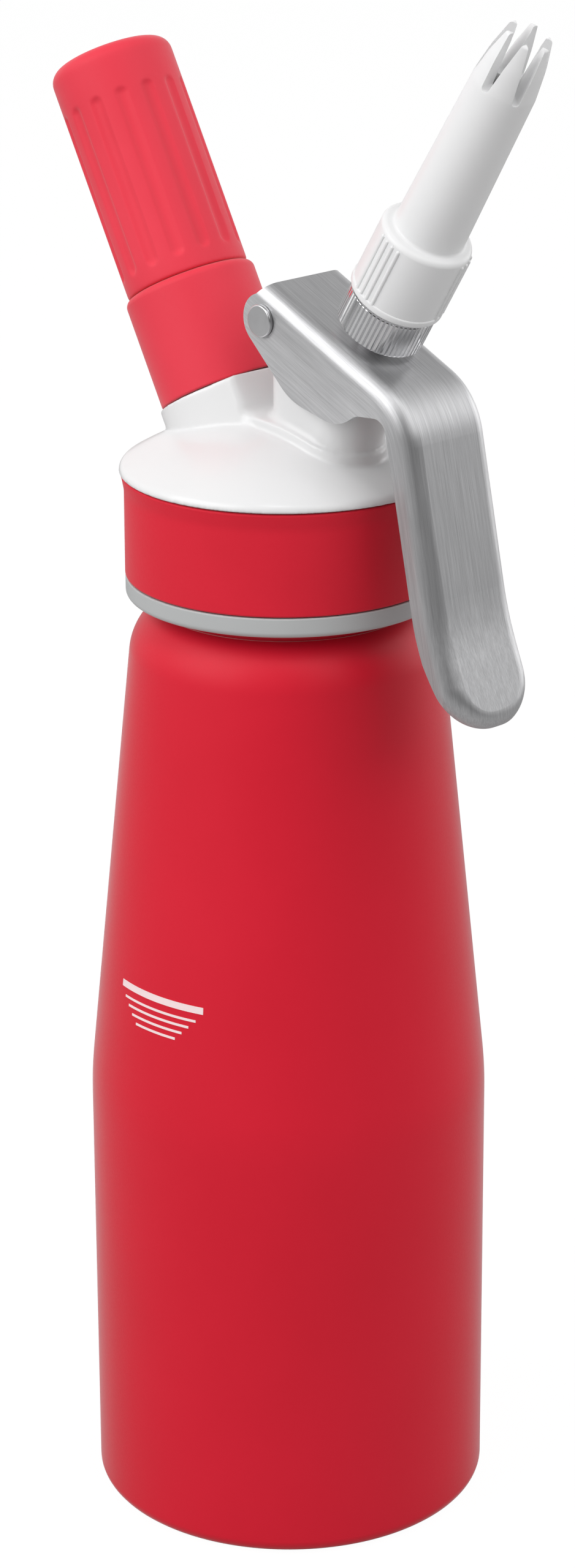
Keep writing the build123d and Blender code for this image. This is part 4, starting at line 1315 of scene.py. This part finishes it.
@dataclass
class Head(Assembly):
    """The white cap with its port block, plinth and tower, and the grip band around it."""

    around: int = 160
    bore_around: int = 96
    voxel: float = 0.36
    edge_angle: float = 50.0
    skirt_in_r: float = 25.9
    skirt_mouth_r: float = 28.4
    skirt_mouth_z: float = 194.9
    groove_r: float = 29.6
    ring_r: float = 31.3
    rim_r: float = 32.25
    rim_round: float = 2.0
    rim_lift: float = 0.2
    rim_inset: float = 0.25
    cavity_r: float = 20.5
    cavity_low: float = 214.0
    seat_z: float = 215.49
    ceiling_z: float = 220.09
    crown_lap: float = 0.6
    dome_r: float = 60.0
    dome_z: float = 167.5
    plinth_half: float = 9.1
    plinth_front: float = 15.4
    plinth_rear: float = -9.0
    plinth_rise: float = 2.0
    plinth_stock_z: float = 235.0
    tower_half: float = 7.8
    tower_rear: float = 0.4
    tower_front: float = 21.9
    tower_lean: float = 9.1
    tower_top: float = 2.0
    tower_drop: float = 0.2
    tower_stock_z: float = 254.69
    tower_fillet: Point = (-0.9, 2.2)
    tower_fillet_aside: Point = (-1.1, 0.95)
    boss_r: float = 4.9
    boss_half: float = 8.8
    boss_round: float = 1.9
    block_r: float = 13.7
    block_front: float = 13.2
    block_corner: float = 9.0
    block_round: float = 2.0
    block_deep: float = 15.0
    block_fillet: Point = (-0.6, 1.6)
    block_fillet_reach: float = 1.4
    block_fillet_top: float = -1.5
    fillet_passes: int = 40
    port_bore: tuple[Stage, ...] = (Stage(5.5, -20.0, -1.6), Stage(8.0, -1.6, 1.0))
    guide_bore: Stage = Stage(6.0, -31.5, 7.0)
    pin_bore: Stage = Stage(2.2, -12.0, 12.0)
    lip_gap: float = 0.2
    band_gap: float = 0.02
    band_foot: float = 0.05
    band_flare: float = 0.6
    band_flare_z: float = 213.4
    band_flare_round: float = 9.0

    def build(self) -> None:
        """Build the cap's crown and skirt, and the band."""
        self.make_crown()
        self.make_skirt()
        self.make_band()

    def make_crown(self) -> None:
        """Mould the dome, the plinth, the tower and the port block in one, and bore it."""
        crown = Bench.join([self.dome(), self.plinth(), self.tower(), self.boss(), self.block()])
        Bench.melt(crown, self.voxel)
        Bench.smooth_where(crown, self.in_fillet, self.fillet_passes)
        Bench.soften(crown)
        for tool in self.bores():
            Bench.cut(crown, tool)
        crown.name = crown.data.name = "head_crown"
        self.finish(crown, Palette.CAP, "head", "head_white", ["head_cap"], self.edge_angle,
                    weighted=False)

    def in_fillet(self, place: Vector) -> bool:
        """Tell whether a point is where the tower or the block meets what it stands on.

        Args:
            place: The point in millimetres.

        Returns:
            Whether it belongs to a fillet.
        """
        if place.z <= LAYOUT.rim_z + self.rim_round:
            return False
        above = (place - Vector((0.0, 0.0, self.dome_z))).length - self.dome_r
        axis_x = min(max(place.x, self.tower_rear + self.tower_half), self.tower_front - self.tower_half)
        aside = math.hypot(place.x - axis_x, place.y) - self.tower_half
        low, high = self.tower_fillet
        inner, outer = self.tower_fillet_aside
        if self.plinth_rise + low < above < self.plinth_rise + high and inner < aside < outer:
            return True
        spot = LAYOUT.holder.matrix().inverted() @ (place * MM) / MM
        by_front = abs(spot.x - self.block_front) < self.block_fillet_reach and spot.z < self.block_fillet_top
        low, high = self.block_fillet
        return by_front and low < above < self.plinth_rise + high

    def dome(self) -> Piece:
        """Turn the solid dome with its rounded rim.

        Returns:
            The dome.
        """
        edge = (self.rim_r - self.rim_round, LAYOUT.rim_z + self.rim_lift)
        rise = math.degrees(math.atan2(edge[1] - self.dome_z, edge[0]))
        corners = [Corner(0.0, LAYOUT.rim_z), Corner(self.rim_r - self.rim_inset, LAYOUT.rim_z)]
        corners += arc(edge, self.rim_round, -3.0, rise, 8)
        corners += arc((0.0, self.dome_z), self.dome_r, rise + 1.0, 90.0, 30)
        return Bench.turn("dome", corners, self.around)

    def slot_block(self, name: str, rear: float, front: float, half: float, high: float,
                   lean: float = 0.0) -> Piece:
        """Extrude a slot-shaped outline upwards from the rim, with a front that may lean.

        Args:
            name: The piece's name.
            rear: X of its round rear.
            front: X of its round front.
            half: Its half width.
            high: Its upper level.
            lean: How far the front moves forward at the upper level.

        Returns:
            The piece.
        """
        deselect()
        low = LAYOUT.rim_z
        bpy.ops.mesh.primitive_circle_add(vertices=96, radius=half * MM, fill_type="NGON",
                                          location=((rear + half) * MM, 0.0, low * MM))
        piece = bpy.context.object
        piece.name = name
        Bench.freeze(piece)
        self.stretch(piece, rear + half, low, front - rear - 2 * half)
        Bench.open(piece)
        bpy.ops.mesh.extrude_region_move(TRANSFORM_OT_translate={"value": (0.0, 0.0, (high - low) * MM)})
        Bench.close()
        if lean:
            self.stretch(piece, (rear + front) / 2, high, lean)
        return piece

    def stretch(self, piece: Piece, beyond: float, level: float, by: float) -> None:
        """Move the points of one level that lie in front of a line.

        Args:
            piece: The piece.
            beyond: X of the line.
            level: Z of the level.
            by: How far they move along X.
        """
        near = Bench.NEAR
        Bench.select_where(piece, lambda spot: spot.x > beyond + near and abs(spot.z - level) < near)
        bpy.ops.transform.translate(value=(by * MM, 0.0, 0.0))
        bpy.ops.object.mode_set(mode="OBJECT")

    def plinth(self) -> Piece:
        """Raise the plinth and round its top to the dome.

        Returns:
            The plinth.
        """
        plinth = self.slot_block("plinth", self.plinth_rear, self.plinth_front + self.plinth_half,
                                 self.plinth_half, self.plinth_stock_z)
        deselect()
        bpy.ops.mesh.primitive_uv_sphere_add(segments=128, ring_count=64,
                                             radius=(self.dome_r + self.plinth_rise) * MM,
                                             location=(0.0, 0.0, self.dome_z * MM))
        Bench.cut(plinth, bpy.context.object, "INTERSECT")
        return plinth

    def tower(self) -> Piece:
        """Raise the leaning tower and slope its top and its rear.

        Returns:
            The tower.
        """
        tower = self.slot_block("tower", self.tower_rear, self.tower_front, self.tower_half,
                                self.tower_stock_z, self.tower_lean)
        px, pz = LAYOUT.pivot
        tilt = math.radians(LAYOUT.nozzle.tilt_deg)
        top = Vector((px + math.sin(tilt) * self.tower_top, 0.0, pz + math.cos(tilt) * self.tower_top))
        rear = top + Vector((0.0, 0.0, -self.tower_drop))
        Bench.open(tower)
        for spot, facing in ((top, (math.sin(tilt), 0.0, math.cos(tilt))),
                             (rear, (-math.cos(tilt), 0.0, math.sin(tilt)))):
            bpy.ops.mesh.select_all(action="SELECT")
            bpy.ops.mesh.bisect(plane_co=spot * MM, plane_no=facing, use_fill=True, clear_outer=True)
        Bench.close()
        return tower

    def boss(self) -> Piece:
        """Turn the boss around the lever's pivot.

        Returns:
            The boss.
        """
        half, r = self.boss_half, self.boss_r
        corners = [Corner(0.0, -half), Corner(r, -half, self.boss_round, 6),
                   Corner(r, half, self.boss_round, 6), Corner(0.0, half)]
        return Bench.place(Bench.turn("boss", corners, 64, closed=False), LAYOUT.across_pivot())

    def block(self) -> Piece:
        """Raise the port block along the holder's axis, round behind and flat in front.

        Returns:
            The block.
        """
        front, corner = self.block_front, self.block_corner
        touch = math.degrees(math.atan2(corner, front) + math.acos(self.block_r / math.hypot(front, corner)))
        outline = [Corner(front, -corner, self.block_round), Corner(front, corner, self.block_round)]
        outline += arc((0.0, 0.0), self.block_r, touch, 360.0 - touch, 96)
        block = Bench.prism("block", rounded(outline), -self.block_deep, 0.0)
        upright = Matrix.Rotation(math.radians(90.0), 4, "X")
        return Bench.place(block, LAYOUT.holder.matrix() @ upright)

    def bores(self) -> list[Piece]:
        """Make the tools that bore the cavity, the port, the guide and the pivot.

        Returns:
            The four tools.
        """
        cavity = Bench.drill("cavity", 128, Stage(self.cavity_r, self.cavity_low, self.ceiling_z))
        port = Bench.drill("port_bore", self.bore_around, *self.port_bore)
        guide = Bench.drill("guide_bore", self.bore_around, self.guide_bore)
        pin = Bench.drill("pin_bore", self.bore_around // 2, self.pin_bore)
        Bench.place(port, LAYOUT.holder.matrix())
        Bench.place(guide, LAYOUT.nozzle.matrix())
        Bench.place(pin, LAYOUT.across_pivot())
        return [cavity, port, guide, pin]

    def make_skirt(self) -> None:
        """Turn the skirt with the bare ring below the band."""
        lap = LAYOUT.rim_z + self.crown_lap
        corners = [Corner(self.ring_r, LAYOUT.ring_z, 1.2, 8), Corner(self.ring_r, LAYOUT.band_z, 0.35, 3),
                   Corner(self.groove_r, LAYOUT.band_z), Corner(self.groove_r, lap),
                   Corner(self.cavity_r, lap), Corner(self.cavity_r, self.seat_z, 0.2, 2),
                   Corner(self.skirt_in_r, self.seat_z),
                   Corner(self.skirt_in_r, self.skirt_mouth_z, 0.4, 3),
                   Corner(self.skirt_mouth_r, LAYOUT.ring_z, 0.5, 3)]
        skirt = Bench.turn("head_skirt", corners, self.around)
        self.finish(skirt, Palette.RING, "head", "head_white", ["head_cap"])

    def make_band(self) -> None:
        """Turn the silicone band with its flared upper lip."""
        top, low = LAYOUT.rim_z - self.lip_gap, LAYOUT.band_z + self.lip_gap
        inside = self.groove_r + self.band_gap
        corners = [Corner(inside, top), Corner(inside, low),
                   Corner(self.ring_r + self.band_foot, low, 0.45, 5),
                   Corner(self.ring_r, self.band_flare_z, self.band_flare_round, 8),
                   Corner(self.ring_r + self.band_flare, top, 0.4, 5)]
        band = Bench.turn("grip_band_skin", corners, self.around)
        self.finish(band, Palette.SILICONE, "head", "silicone_red", ["grip_band"])


@dataclass
class ChargerHolder(Assembly):
    """The charger holder: screwed skirt and fluted sleeve, and the port's thread below."""

    around: int = 144
    port_around: int = 96
    voxel: float = 0.3
    edge_angle: float = 50.0
    sleeve_low: float = 22.55
    sleeve_high: float = 69.75
    sleeve_r: float = 12.25
    sleeve_crown: float = 3.0
    bore: Stage = Stage(10.6, 20.0, 67.45)
    flutes: int = 14
    flute_r: float = 2.05
    flute_depth: float = 0.6
    flute_low: float = 27.25
    flute_high: float = 59.05
    flute_phase: float = -14.9
    skirt_r: float = 13.15
    skirt_low: float = 0.3
    skirt_high: float = 22.5
    skirt_crown: float = 1.6
    thread_r: float = 11.2
    thread_high: float = 13.5
    tube_foot_r: float = 10.62
    tube_r: float = 10.58
    tube_high: float = 67.4
    chamber_r: float = 9.35
    chamber_high: float = 65.85
    shank_r: float = 5.5
    shank_low: float = -20.0
    flange_r: float = 8.0
    flange_low: float = -1.6
    cup_foot_r: float = 11.05
    cup_foot_high: float = 1.6
    cup_r: float = 10.45
    cup_high: float = 12.0
    cup_in_r: float = 9.35
    cup_floor: float = 2.0
    gland_r: float = 6.6
    pin_hole_r: float = 1.5
    pin_hole_low: float = -4.3
    ridge_root: float = 10.5
    ridge_crest: float = 11.0
    ridge_pitch: float = 1.6
    ridge_low: float = 3.4
    ridge_turns: int = 4

    def build(self) -> None:
        """Build the sleeve, the skirt and the port."""
        self.make_sleeve()
        self.make_skirt()
        self.make_port()

    def make_sleeve(self) -> None:
        """Mould the soft sleeve and press the flutes into it."""
        corners = [Corner(0.0, self.sleeve_low), Corner(self.sleeve_r, self.sleeve_low, 0.5, 3),
                   Corner(self.sleeve_r, self.sleeve_high, self.sleeve_crown, 10),
                   Corner(0.0, self.sleeve_high)]
        sleeve = Bench.turn("holder_sleeve_skin", corners, self.around, closed=False)
        Bench.cut(sleeve, self.flute_tools())
        Bench.melt(sleeve, self.voxel)
        Bench.soften(sleeve)
        Bench.cut(sleeve, Bench.drill("bore", self.port_around, self.bore))
        Bench.place(sleeve, LAYOUT.holder.matrix())
        self.finish(sleeve, Palette.HOLDER, "holder", "holder_red", ["holder_sleeve"], self.edge_angle,
                    weighted=False)

    def flute_tools(self) -> Piece:
        """Make the round-ended tools that press the flutes.

        Returns:
            The tools, joined in one.
        """
        at = self.sleeve_r + self.flute_r - self.flute_depth
        deselect()
        bpy.ops.mesh.primitive_uv_sphere_add(segments=32, ring_count=16, radius=self.flute_r * MM,
                                             location=(at * MM, 0.0, self.flute_low * MM))
        tool = bpy.context.object
        Bench.freeze(tool)
        Bench.select_where(tool, lambda spot: spot.z > self.flute_low + Bench.NEAR)
        bpy.ops.transform.translate(value=(0.0, 0.0, (self.flute_high - self.flute_low) * MM))
        bpy.ops.object.mode_set(mode="OBJECT")
        return Bench.join(Bench.around(tool, self.flutes, self.flute_phase))

    def make_skirt(self) -> None:
        """Turn the holder's skirt and the tube in the sleeve."""
        corners = [Corner(self.thread_r, self.skirt_low), Corner(self.skirt_r, self.skirt_low, 0.4, 3),
                   Corner(self.skirt_r, self.skirt_high, self.skirt_crown, 8),
                   Corner(self.tube_foot_r, self.skirt_high), Corner(self.tube_r, self.tube_high),
                   Corner(0.0, self.tube_high), Corner(0.0, self.chamber_high),
                   Corner(self.chamber_r, self.chamber_high), Corner(self.chamber_r, self.thread_high),
                   Corner(self.thread_r, self.thread_high)]
        skirt = Bench.turn("holder_skirt", corners, self.around)
        Bench.place(skirt, LAYOUT.holder.matrix())
        self.finish(skirt, Palette.HOLDER, "holder", "holder_red", ["charger_holder"])

    def make_port(self) -> None:
        """Turn the charge port and wind its thread."""
        corners = [Corner(0.0, self.shank_low), Corner(self.shank_r, self.shank_low, 0.4, 2),
                   Corner(self.shank_r, self.flange_low), Corner(self.flange_r, self.flange_low),
                   Corner(self.flange_r, 0.0), Corner(self.cup_foot_r, 0.0, 0.2, 2),
                   Corner(self.cup_foot_r, self.cup_foot_high), Corner(self.cup_r, self.cup_foot_high + 0.6),
                   Corner(self.cup_r, self.cup_high - 1.0), Corner(self.cup_r, self.cup_high, 0.5, 3),
                   Corner(self.cup_in_r, self.cup_high, 0.2, 2), Corner(self.cup_in_r, self.cup_floor),
                   Corner(self.gland_r, self.cup_floor), Corner(self.gland_r, 0.0),
                   Corner(self.pin_hole_r, 0.0), Corner(self.pin_hole_r, self.pin_hole_low),
                   Corner(0.0, self.pin_hole_low)]
        cup = Bench.turn("charge_port_cup", corners, self.port_around, closed=False)
        ridge = Bench.thread("ridge", self.ridge_root, self.ridge_crest, self.ridge_pitch, self.ridge_low,
                             self.ridge_turns)
        cup = Bench.join([cup, ridge])
        Bench.place(cup, LAYOUT.holder.matrix())
        self.finish(cup, Palette.PLATED, "head", "port_metal", ["charge_port"])


@dataclass
class LeverPivot(Assembly):
    """The rivet that the lever turns on."""

    around: int = 72
    pin_r: float = 2.2
    head_r: float = 3.15
    head_low: float = 10.6
    head_high: float = 11.55
    crown: float = 0.12
    crown_inset: float = 0.5

    def build(self) -> None:
        """Turn the rivet with its two flat, soft-edged heads."""
        rim = self.head_high - self.crown
        half = [Corner(0.0, self.head_high), Corner(self.head_r - self.crown_inset, rim, 2.0, 3),
                Corner(self.head_r, rim, 0.35, 5), Corner(self.head_r, self.head_low, 0.1, 2),
                Corner(self.pin_r, self.head_low)]
        far = [Corner(corner.r, -corner.z, corner.round, corner.steps) for corner in reversed(half)]
        rivet = Bench.turn("pivot_rivet", half + far, self.around, closed=False)
        Bench.place(rivet, LAYOUT.across_pivot())
        self.finish(rivet, Palette.RIVET, "head", "pin_steel", ["pivot_pin"])


@dataclass
class ValveSpring(Assembly):
    """The coil that lifts the stem, and closes up as the lever is pressed."""

    wire_r: float = 0.42
    wire_sides: int = 16
    coil_r: float = 3.9
    turns: float = 4.5
    foot: float = -6.95
    head: float = 5.75
    stroke: float = 2.6

    def build(self) -> None:
        """Wind the coil in the guide's pocket."""
        low, high = self.foot + self.wire_r, self.head - self.wire_r
        runs = self.wire_sides - 1
        wire = arc((self.coil_r, 0.0), self.wire_r, 0.0, 360.0 * runs / self.wire_sides, runs)
        section = [(corner.r, corner.z) for corner in wire]
        spring = Bench.wind("valve_spring_coil", section, (high - low) / self.turns, self.turns)
        Bench.place(spring, LAYOUT.nozzle.matrix() @ Matrix.Translation((0.0, 0.0, low * MM)))
        self.finish(spring, Palette.TURNED, "head", "valve_steel", ["valve_spring"])
        anchor = LAYOUT.nozzle.matrix() @ Vector((0.0, 0.0, self.foot * MM))
        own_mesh(spring)


@dataclass
class Nozzle(Assembly):
    """The knurled adaptor and the tined piping tip on the valve's stem."""

    around: int = 144
    spigot_around: int = 96
    stem_r: float = 3.0
    knurls: int = 58
    knurl_r: float = 8.6
    knurl_depth: float = 0.5
    knurl_low: float = 11.4
    knurl_high: float = 19.9
    knurl_bevel: Point = (0.9, 0.8)
    knurl_skin: float = 0.01
    spigot_r: float = 7.3
    spigot_high: float = 32.0
    spigot_in_r: float = 4.5
    spigot_floor: float = 21.0
    spigot_lap: float = 0.2
    thread_depth: float = 0.5
    thread_slack: float = 0.02
    thread_pitch: float = 2.0
    thread_low: float = 22.4
    thread_turns: int = 4
    socket_low: float = 20.05
    socket_high: float = 35.3
    socket_r: float = 9.0
    socket_in_r: float = 7.45
    socket_floor: float = 33.3
    bead: float = 0.22
    bead_high: float = 1.25
    tube_foot_r: float = 6.95
    tube_r: float = 6.12
    tube_foot_in_r: float = 5.65
    tube_in_r: float = 4.6
    waist: float = 70.5
    swell: Point = (5.5, 5.4)
    tip_high: float = 81.3
    tip_r: float = 4.4
    tip_in_r: float = 3.0
    tine_bevel: float = 0.42
    tines: int = 6
    slot_phase: float = -23.0
    slot_foot: float = 0.72
    slot_mouth: float = 1.68
    slot_reach: float = 9.0
    rib_groups: int = 3
    ribs: int = 4
    rib_centre: float = -92.0
    rib_step: float = 10.0
    rib_r: float = 0.38
    rib_sunk: float = 0.06

    def build(self) -> None:
        """Build the adaptor and the tip."""
        self.make_adaptor()
        self.make_tip()

    def make_adaptor(self) -> None:
        """Make the nut, the spigot above it and the spigot's thread, and join them."""
        nut = self.knurled_nut()
        low, r = self.knurl_high - self.spigot_lap, self.spigot_r - self.thread_depth
        corners = [Corner(self.stem_r, low), Corner(r, low), Corner(r, self.spigot_high, 0.5, 3),
                   Corner(self.spigot_in_r, self.spigot_high, 0.2, 2),
                   Corner(self.spigot_in_r, self.spigot_floor), Corner(self.stem_r, self.spigot_floor)]
        spigot = Bench.turn("spigot", corners, self.spigot_around)
        ridge = Bench.thread("ridge", r, self.spigot_r - self.thread_slack, self.thread_pitch,
                             self.thread_low, self.thread_turns)
        nut = Bench.join([nut, spigot, ridge])
        Bench.place(nut, LAYOUT.nozzle.matrix())
        self.finish(nut, Palette.KNURL, "valve", "adaptor_steel", ["nozzle_adaptor"], 28.0)

    def knurled_nut(self) -> Piece:
        """Cut the nut with its straight knurl and bevelled ends.

        Returns:
            The nut.
        """
        low, high, r = self.knurl_low, self.knurl_high, self.knurl_r
        deselect()
        bpy.ops.mesh.primitive_cylinder_add(vertices=4 * self.knurls, radius=r * MM, depth=(high - low) * MM,
                                            location=(0.0, 0.0, (high + low) / 2 * MM))
        nut = bpy.context.object
        nut.name = nut.data.name = "nozzle_adaptor_nut"
        Bench.freeze(nut)
        step = math.tau / self.knurls
        Bench.select_where(nut, lambda spot: abs((math.atan2(spot.y, spot.x) / step) % 1.0 - 0.5) < 0.1)
        share = 1.0 - self.knurl_depth / r
        bpy.ops.transform.resize(value=(share, share, 1.0), center_override=(0.0, 0.0, 0.0))
        Bench.close()
        inset, rise = self.knurl_bevel
        skin = r + self.knurl_skin
        form = [Corner(self.stem_r, low), Corner(r - inset, low, 0.15, 2),
                Corner(skin, low + rise, 0.2, 2), Corner(skin, high - rise, 0.2, 2),
                Corner(r - inset, high, 0.15, 2), Corner(self.stem_r, high)]
        Bench.cut(nut, Bench.turn("form", form, 192), "INTERSECT")
        return nut

    def make_tip(self) -> None:
        """Mould the socket, the tube and the tines of the tip."""
        low, high, r = self.socket_low, self.socket_high, self.socket_r
        waist, top = self.waist, self.tip_high
        bead_r, bead_high = r + self.bead, low + self.bead_high
        swell_r, swell_up = self.swell
        corners = [Corner(self.socket_in_r, low), Corner(bead_r, low, 0.25, 3),
                   Corner(bead_r, bead_high, 0.3, 3), Corner(r, bead_high + 0.1),
                   Corner(r - 0.05, high, 1.2, 8),
                   Corner(self.tube_foot_r, high + 0.35, 0.7, 5), Corner(self.tube_r + 0.03, waist - 0.6),
                   Corner(self.tube_r, waist, 1.0, 3), Corner(swell_r, waist + swell_up, 22.0, 4),
                   Corner(self.tip_r, top, 0.55, 6), Corner(self.tip_in_r, top, 0.55, 6),
                   Corner(self.tip_in_r, waist - 1.0, 3.0, 4), Corner(self.tube_in_r, waist - 6.0, 6.0, 5),
                   Corner(self.tube_foot_in_r, self.socket_floor),
                   Corner(self.socket_in_r, self.socket_floor)]
        tip = Bench.turn("decorator_tip_moulding", corners, self.around)
        for number in range(self.tines // 2):
            Bench.cut(tip, self.slot_tool(self.slot_phase + 360.0 / self.tines * number))
        Bench.apply(tip, "BEVEL", width=self.tine_bevel * MM, segments=4, limit_method="ANGLE",
                    angle_limit=math.radians(50.0), use_clamp_overlap=True)
        ribs = []
        for group in range(self.rib_groups):
            for number in range(self.ribs):
                aside = self.rib_step * (number - (self.ribs - 1) / 2)
                ribs.append(self.rib(self.rib_centre + 360.0 / self.rib_groups * group + aside))
        tip = Bench.join([tip] + ribs)
        Bench.place(tip, LAYOUT.nozzle.matrix())
        self.finish(tip, Palette.TIP, "tip", "tip_white", ["decorator_tip"], 40.0)

    def slot_tool(self, angle_deg: float) -> Piece:
        """Make a wedge that cuts two facing slots between the tines.

        Args:
            angle_deg: The slots' angle about the tip's axis.

        Returns:
            The wedge.
        """
        foot, mouth = self.slot_foot, self.slot_mouth
        low, high = self.waist - 0.3, self.tip_high + 0.5
        corners = [Corner(-foot, low, 0.65, 5), Corner(foot, low, 0.65, 5), Corner(mouth, high),
                   Corner(-mouth, high)]
        wedge = Bench.prism("wedge", rounded(corners), -self.slot_reach, self.slot_reach)
        return Bench.place(wedge, Matrix.Rotation(math.radians(angle_deg + 90.0), 4, "Z"))

    def rib(self, angle_deg: float) -> Piece:
        """Turn one grip rib of the socket.

        Args:
            angle_deg: Its angle about the tip's axis.

        Returns:
            The rib.
        """
        low, high = self.socket_low + 1.0, self.socket_high - 1.0
        corners = [Corner(0.0, low), Corner(self.rib_r, low + 0.2, 0.1, 2),
                   Corner(self.rib_r, high - 0.3, 0.3, 3), Corner(0.0, high)]
        rib = Bench.turn("rib", corners, 12, closed=False)
        out = Matrix.Translation(((self.socket_r - self.rib_sunk) * MM, 0.0, 0.0))
        return Bench.place(rib, Matrix.Rotation(math.radians(angle_deg), 4, "Z") @ out)


# ---------------------------------------------------------------- the whole dispenser


CAD_FINISH: dict[str, Palette] = {
    "bottle": Palette.ENAMEL,
    "head_cap": Palette.CAP,
    "grip_band": Palette.SILICONE,
    "head_gasket": Palette.WHITE_SEAL,
    "charge_port": Palette.PLATED,
    "piercing_pin": Palette.TURNED,
    "port_gasket": Palette.DARK_SEAL,
    "check_valve": Palette.DARK_SEAL,
    "charger_holder": Palette.HOLDER,
    "holder_sleeve": Palette.HOLDER,
    "gas_charger": Palette.ZINC,
    "lever": Palette.LEVER,
    "pivot_pin": Palette.RIVET,
    "valve_guide": Palette.TURNED,
    "stem_oring": Palette.DARK_SEAL,
    "valve_stem": Palette.TURNED,
    "valve_gasket": Palette.DARK_SEAL,
    "stem_collar": Palette.TURNED,
    "valve_spring": Palette.TURNED,
    "nozzle_adaptor": Palette.KNURL,
    "tip_washer": Palette.WHITE_SEAL,
    "decorator_tip": Palette.TIP,
}


def main() -> None:
    """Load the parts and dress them."""
    logging.basicConfig(level=logging.INFO, format="%(name)s: %(message)s")
    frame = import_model()
    Studio().build()
    for name, finish in CAD_FINISH.items():
        dress(frame["nodes"][name], finish)
        LOG.info("dressed %s", name)
    for assembly in (Bottle(), Head(), ChargerHolder(), LeverPivot(), ValveSpring(), Nozzle()):
        assembly.build()


if __name__ == "__main__":
    main()
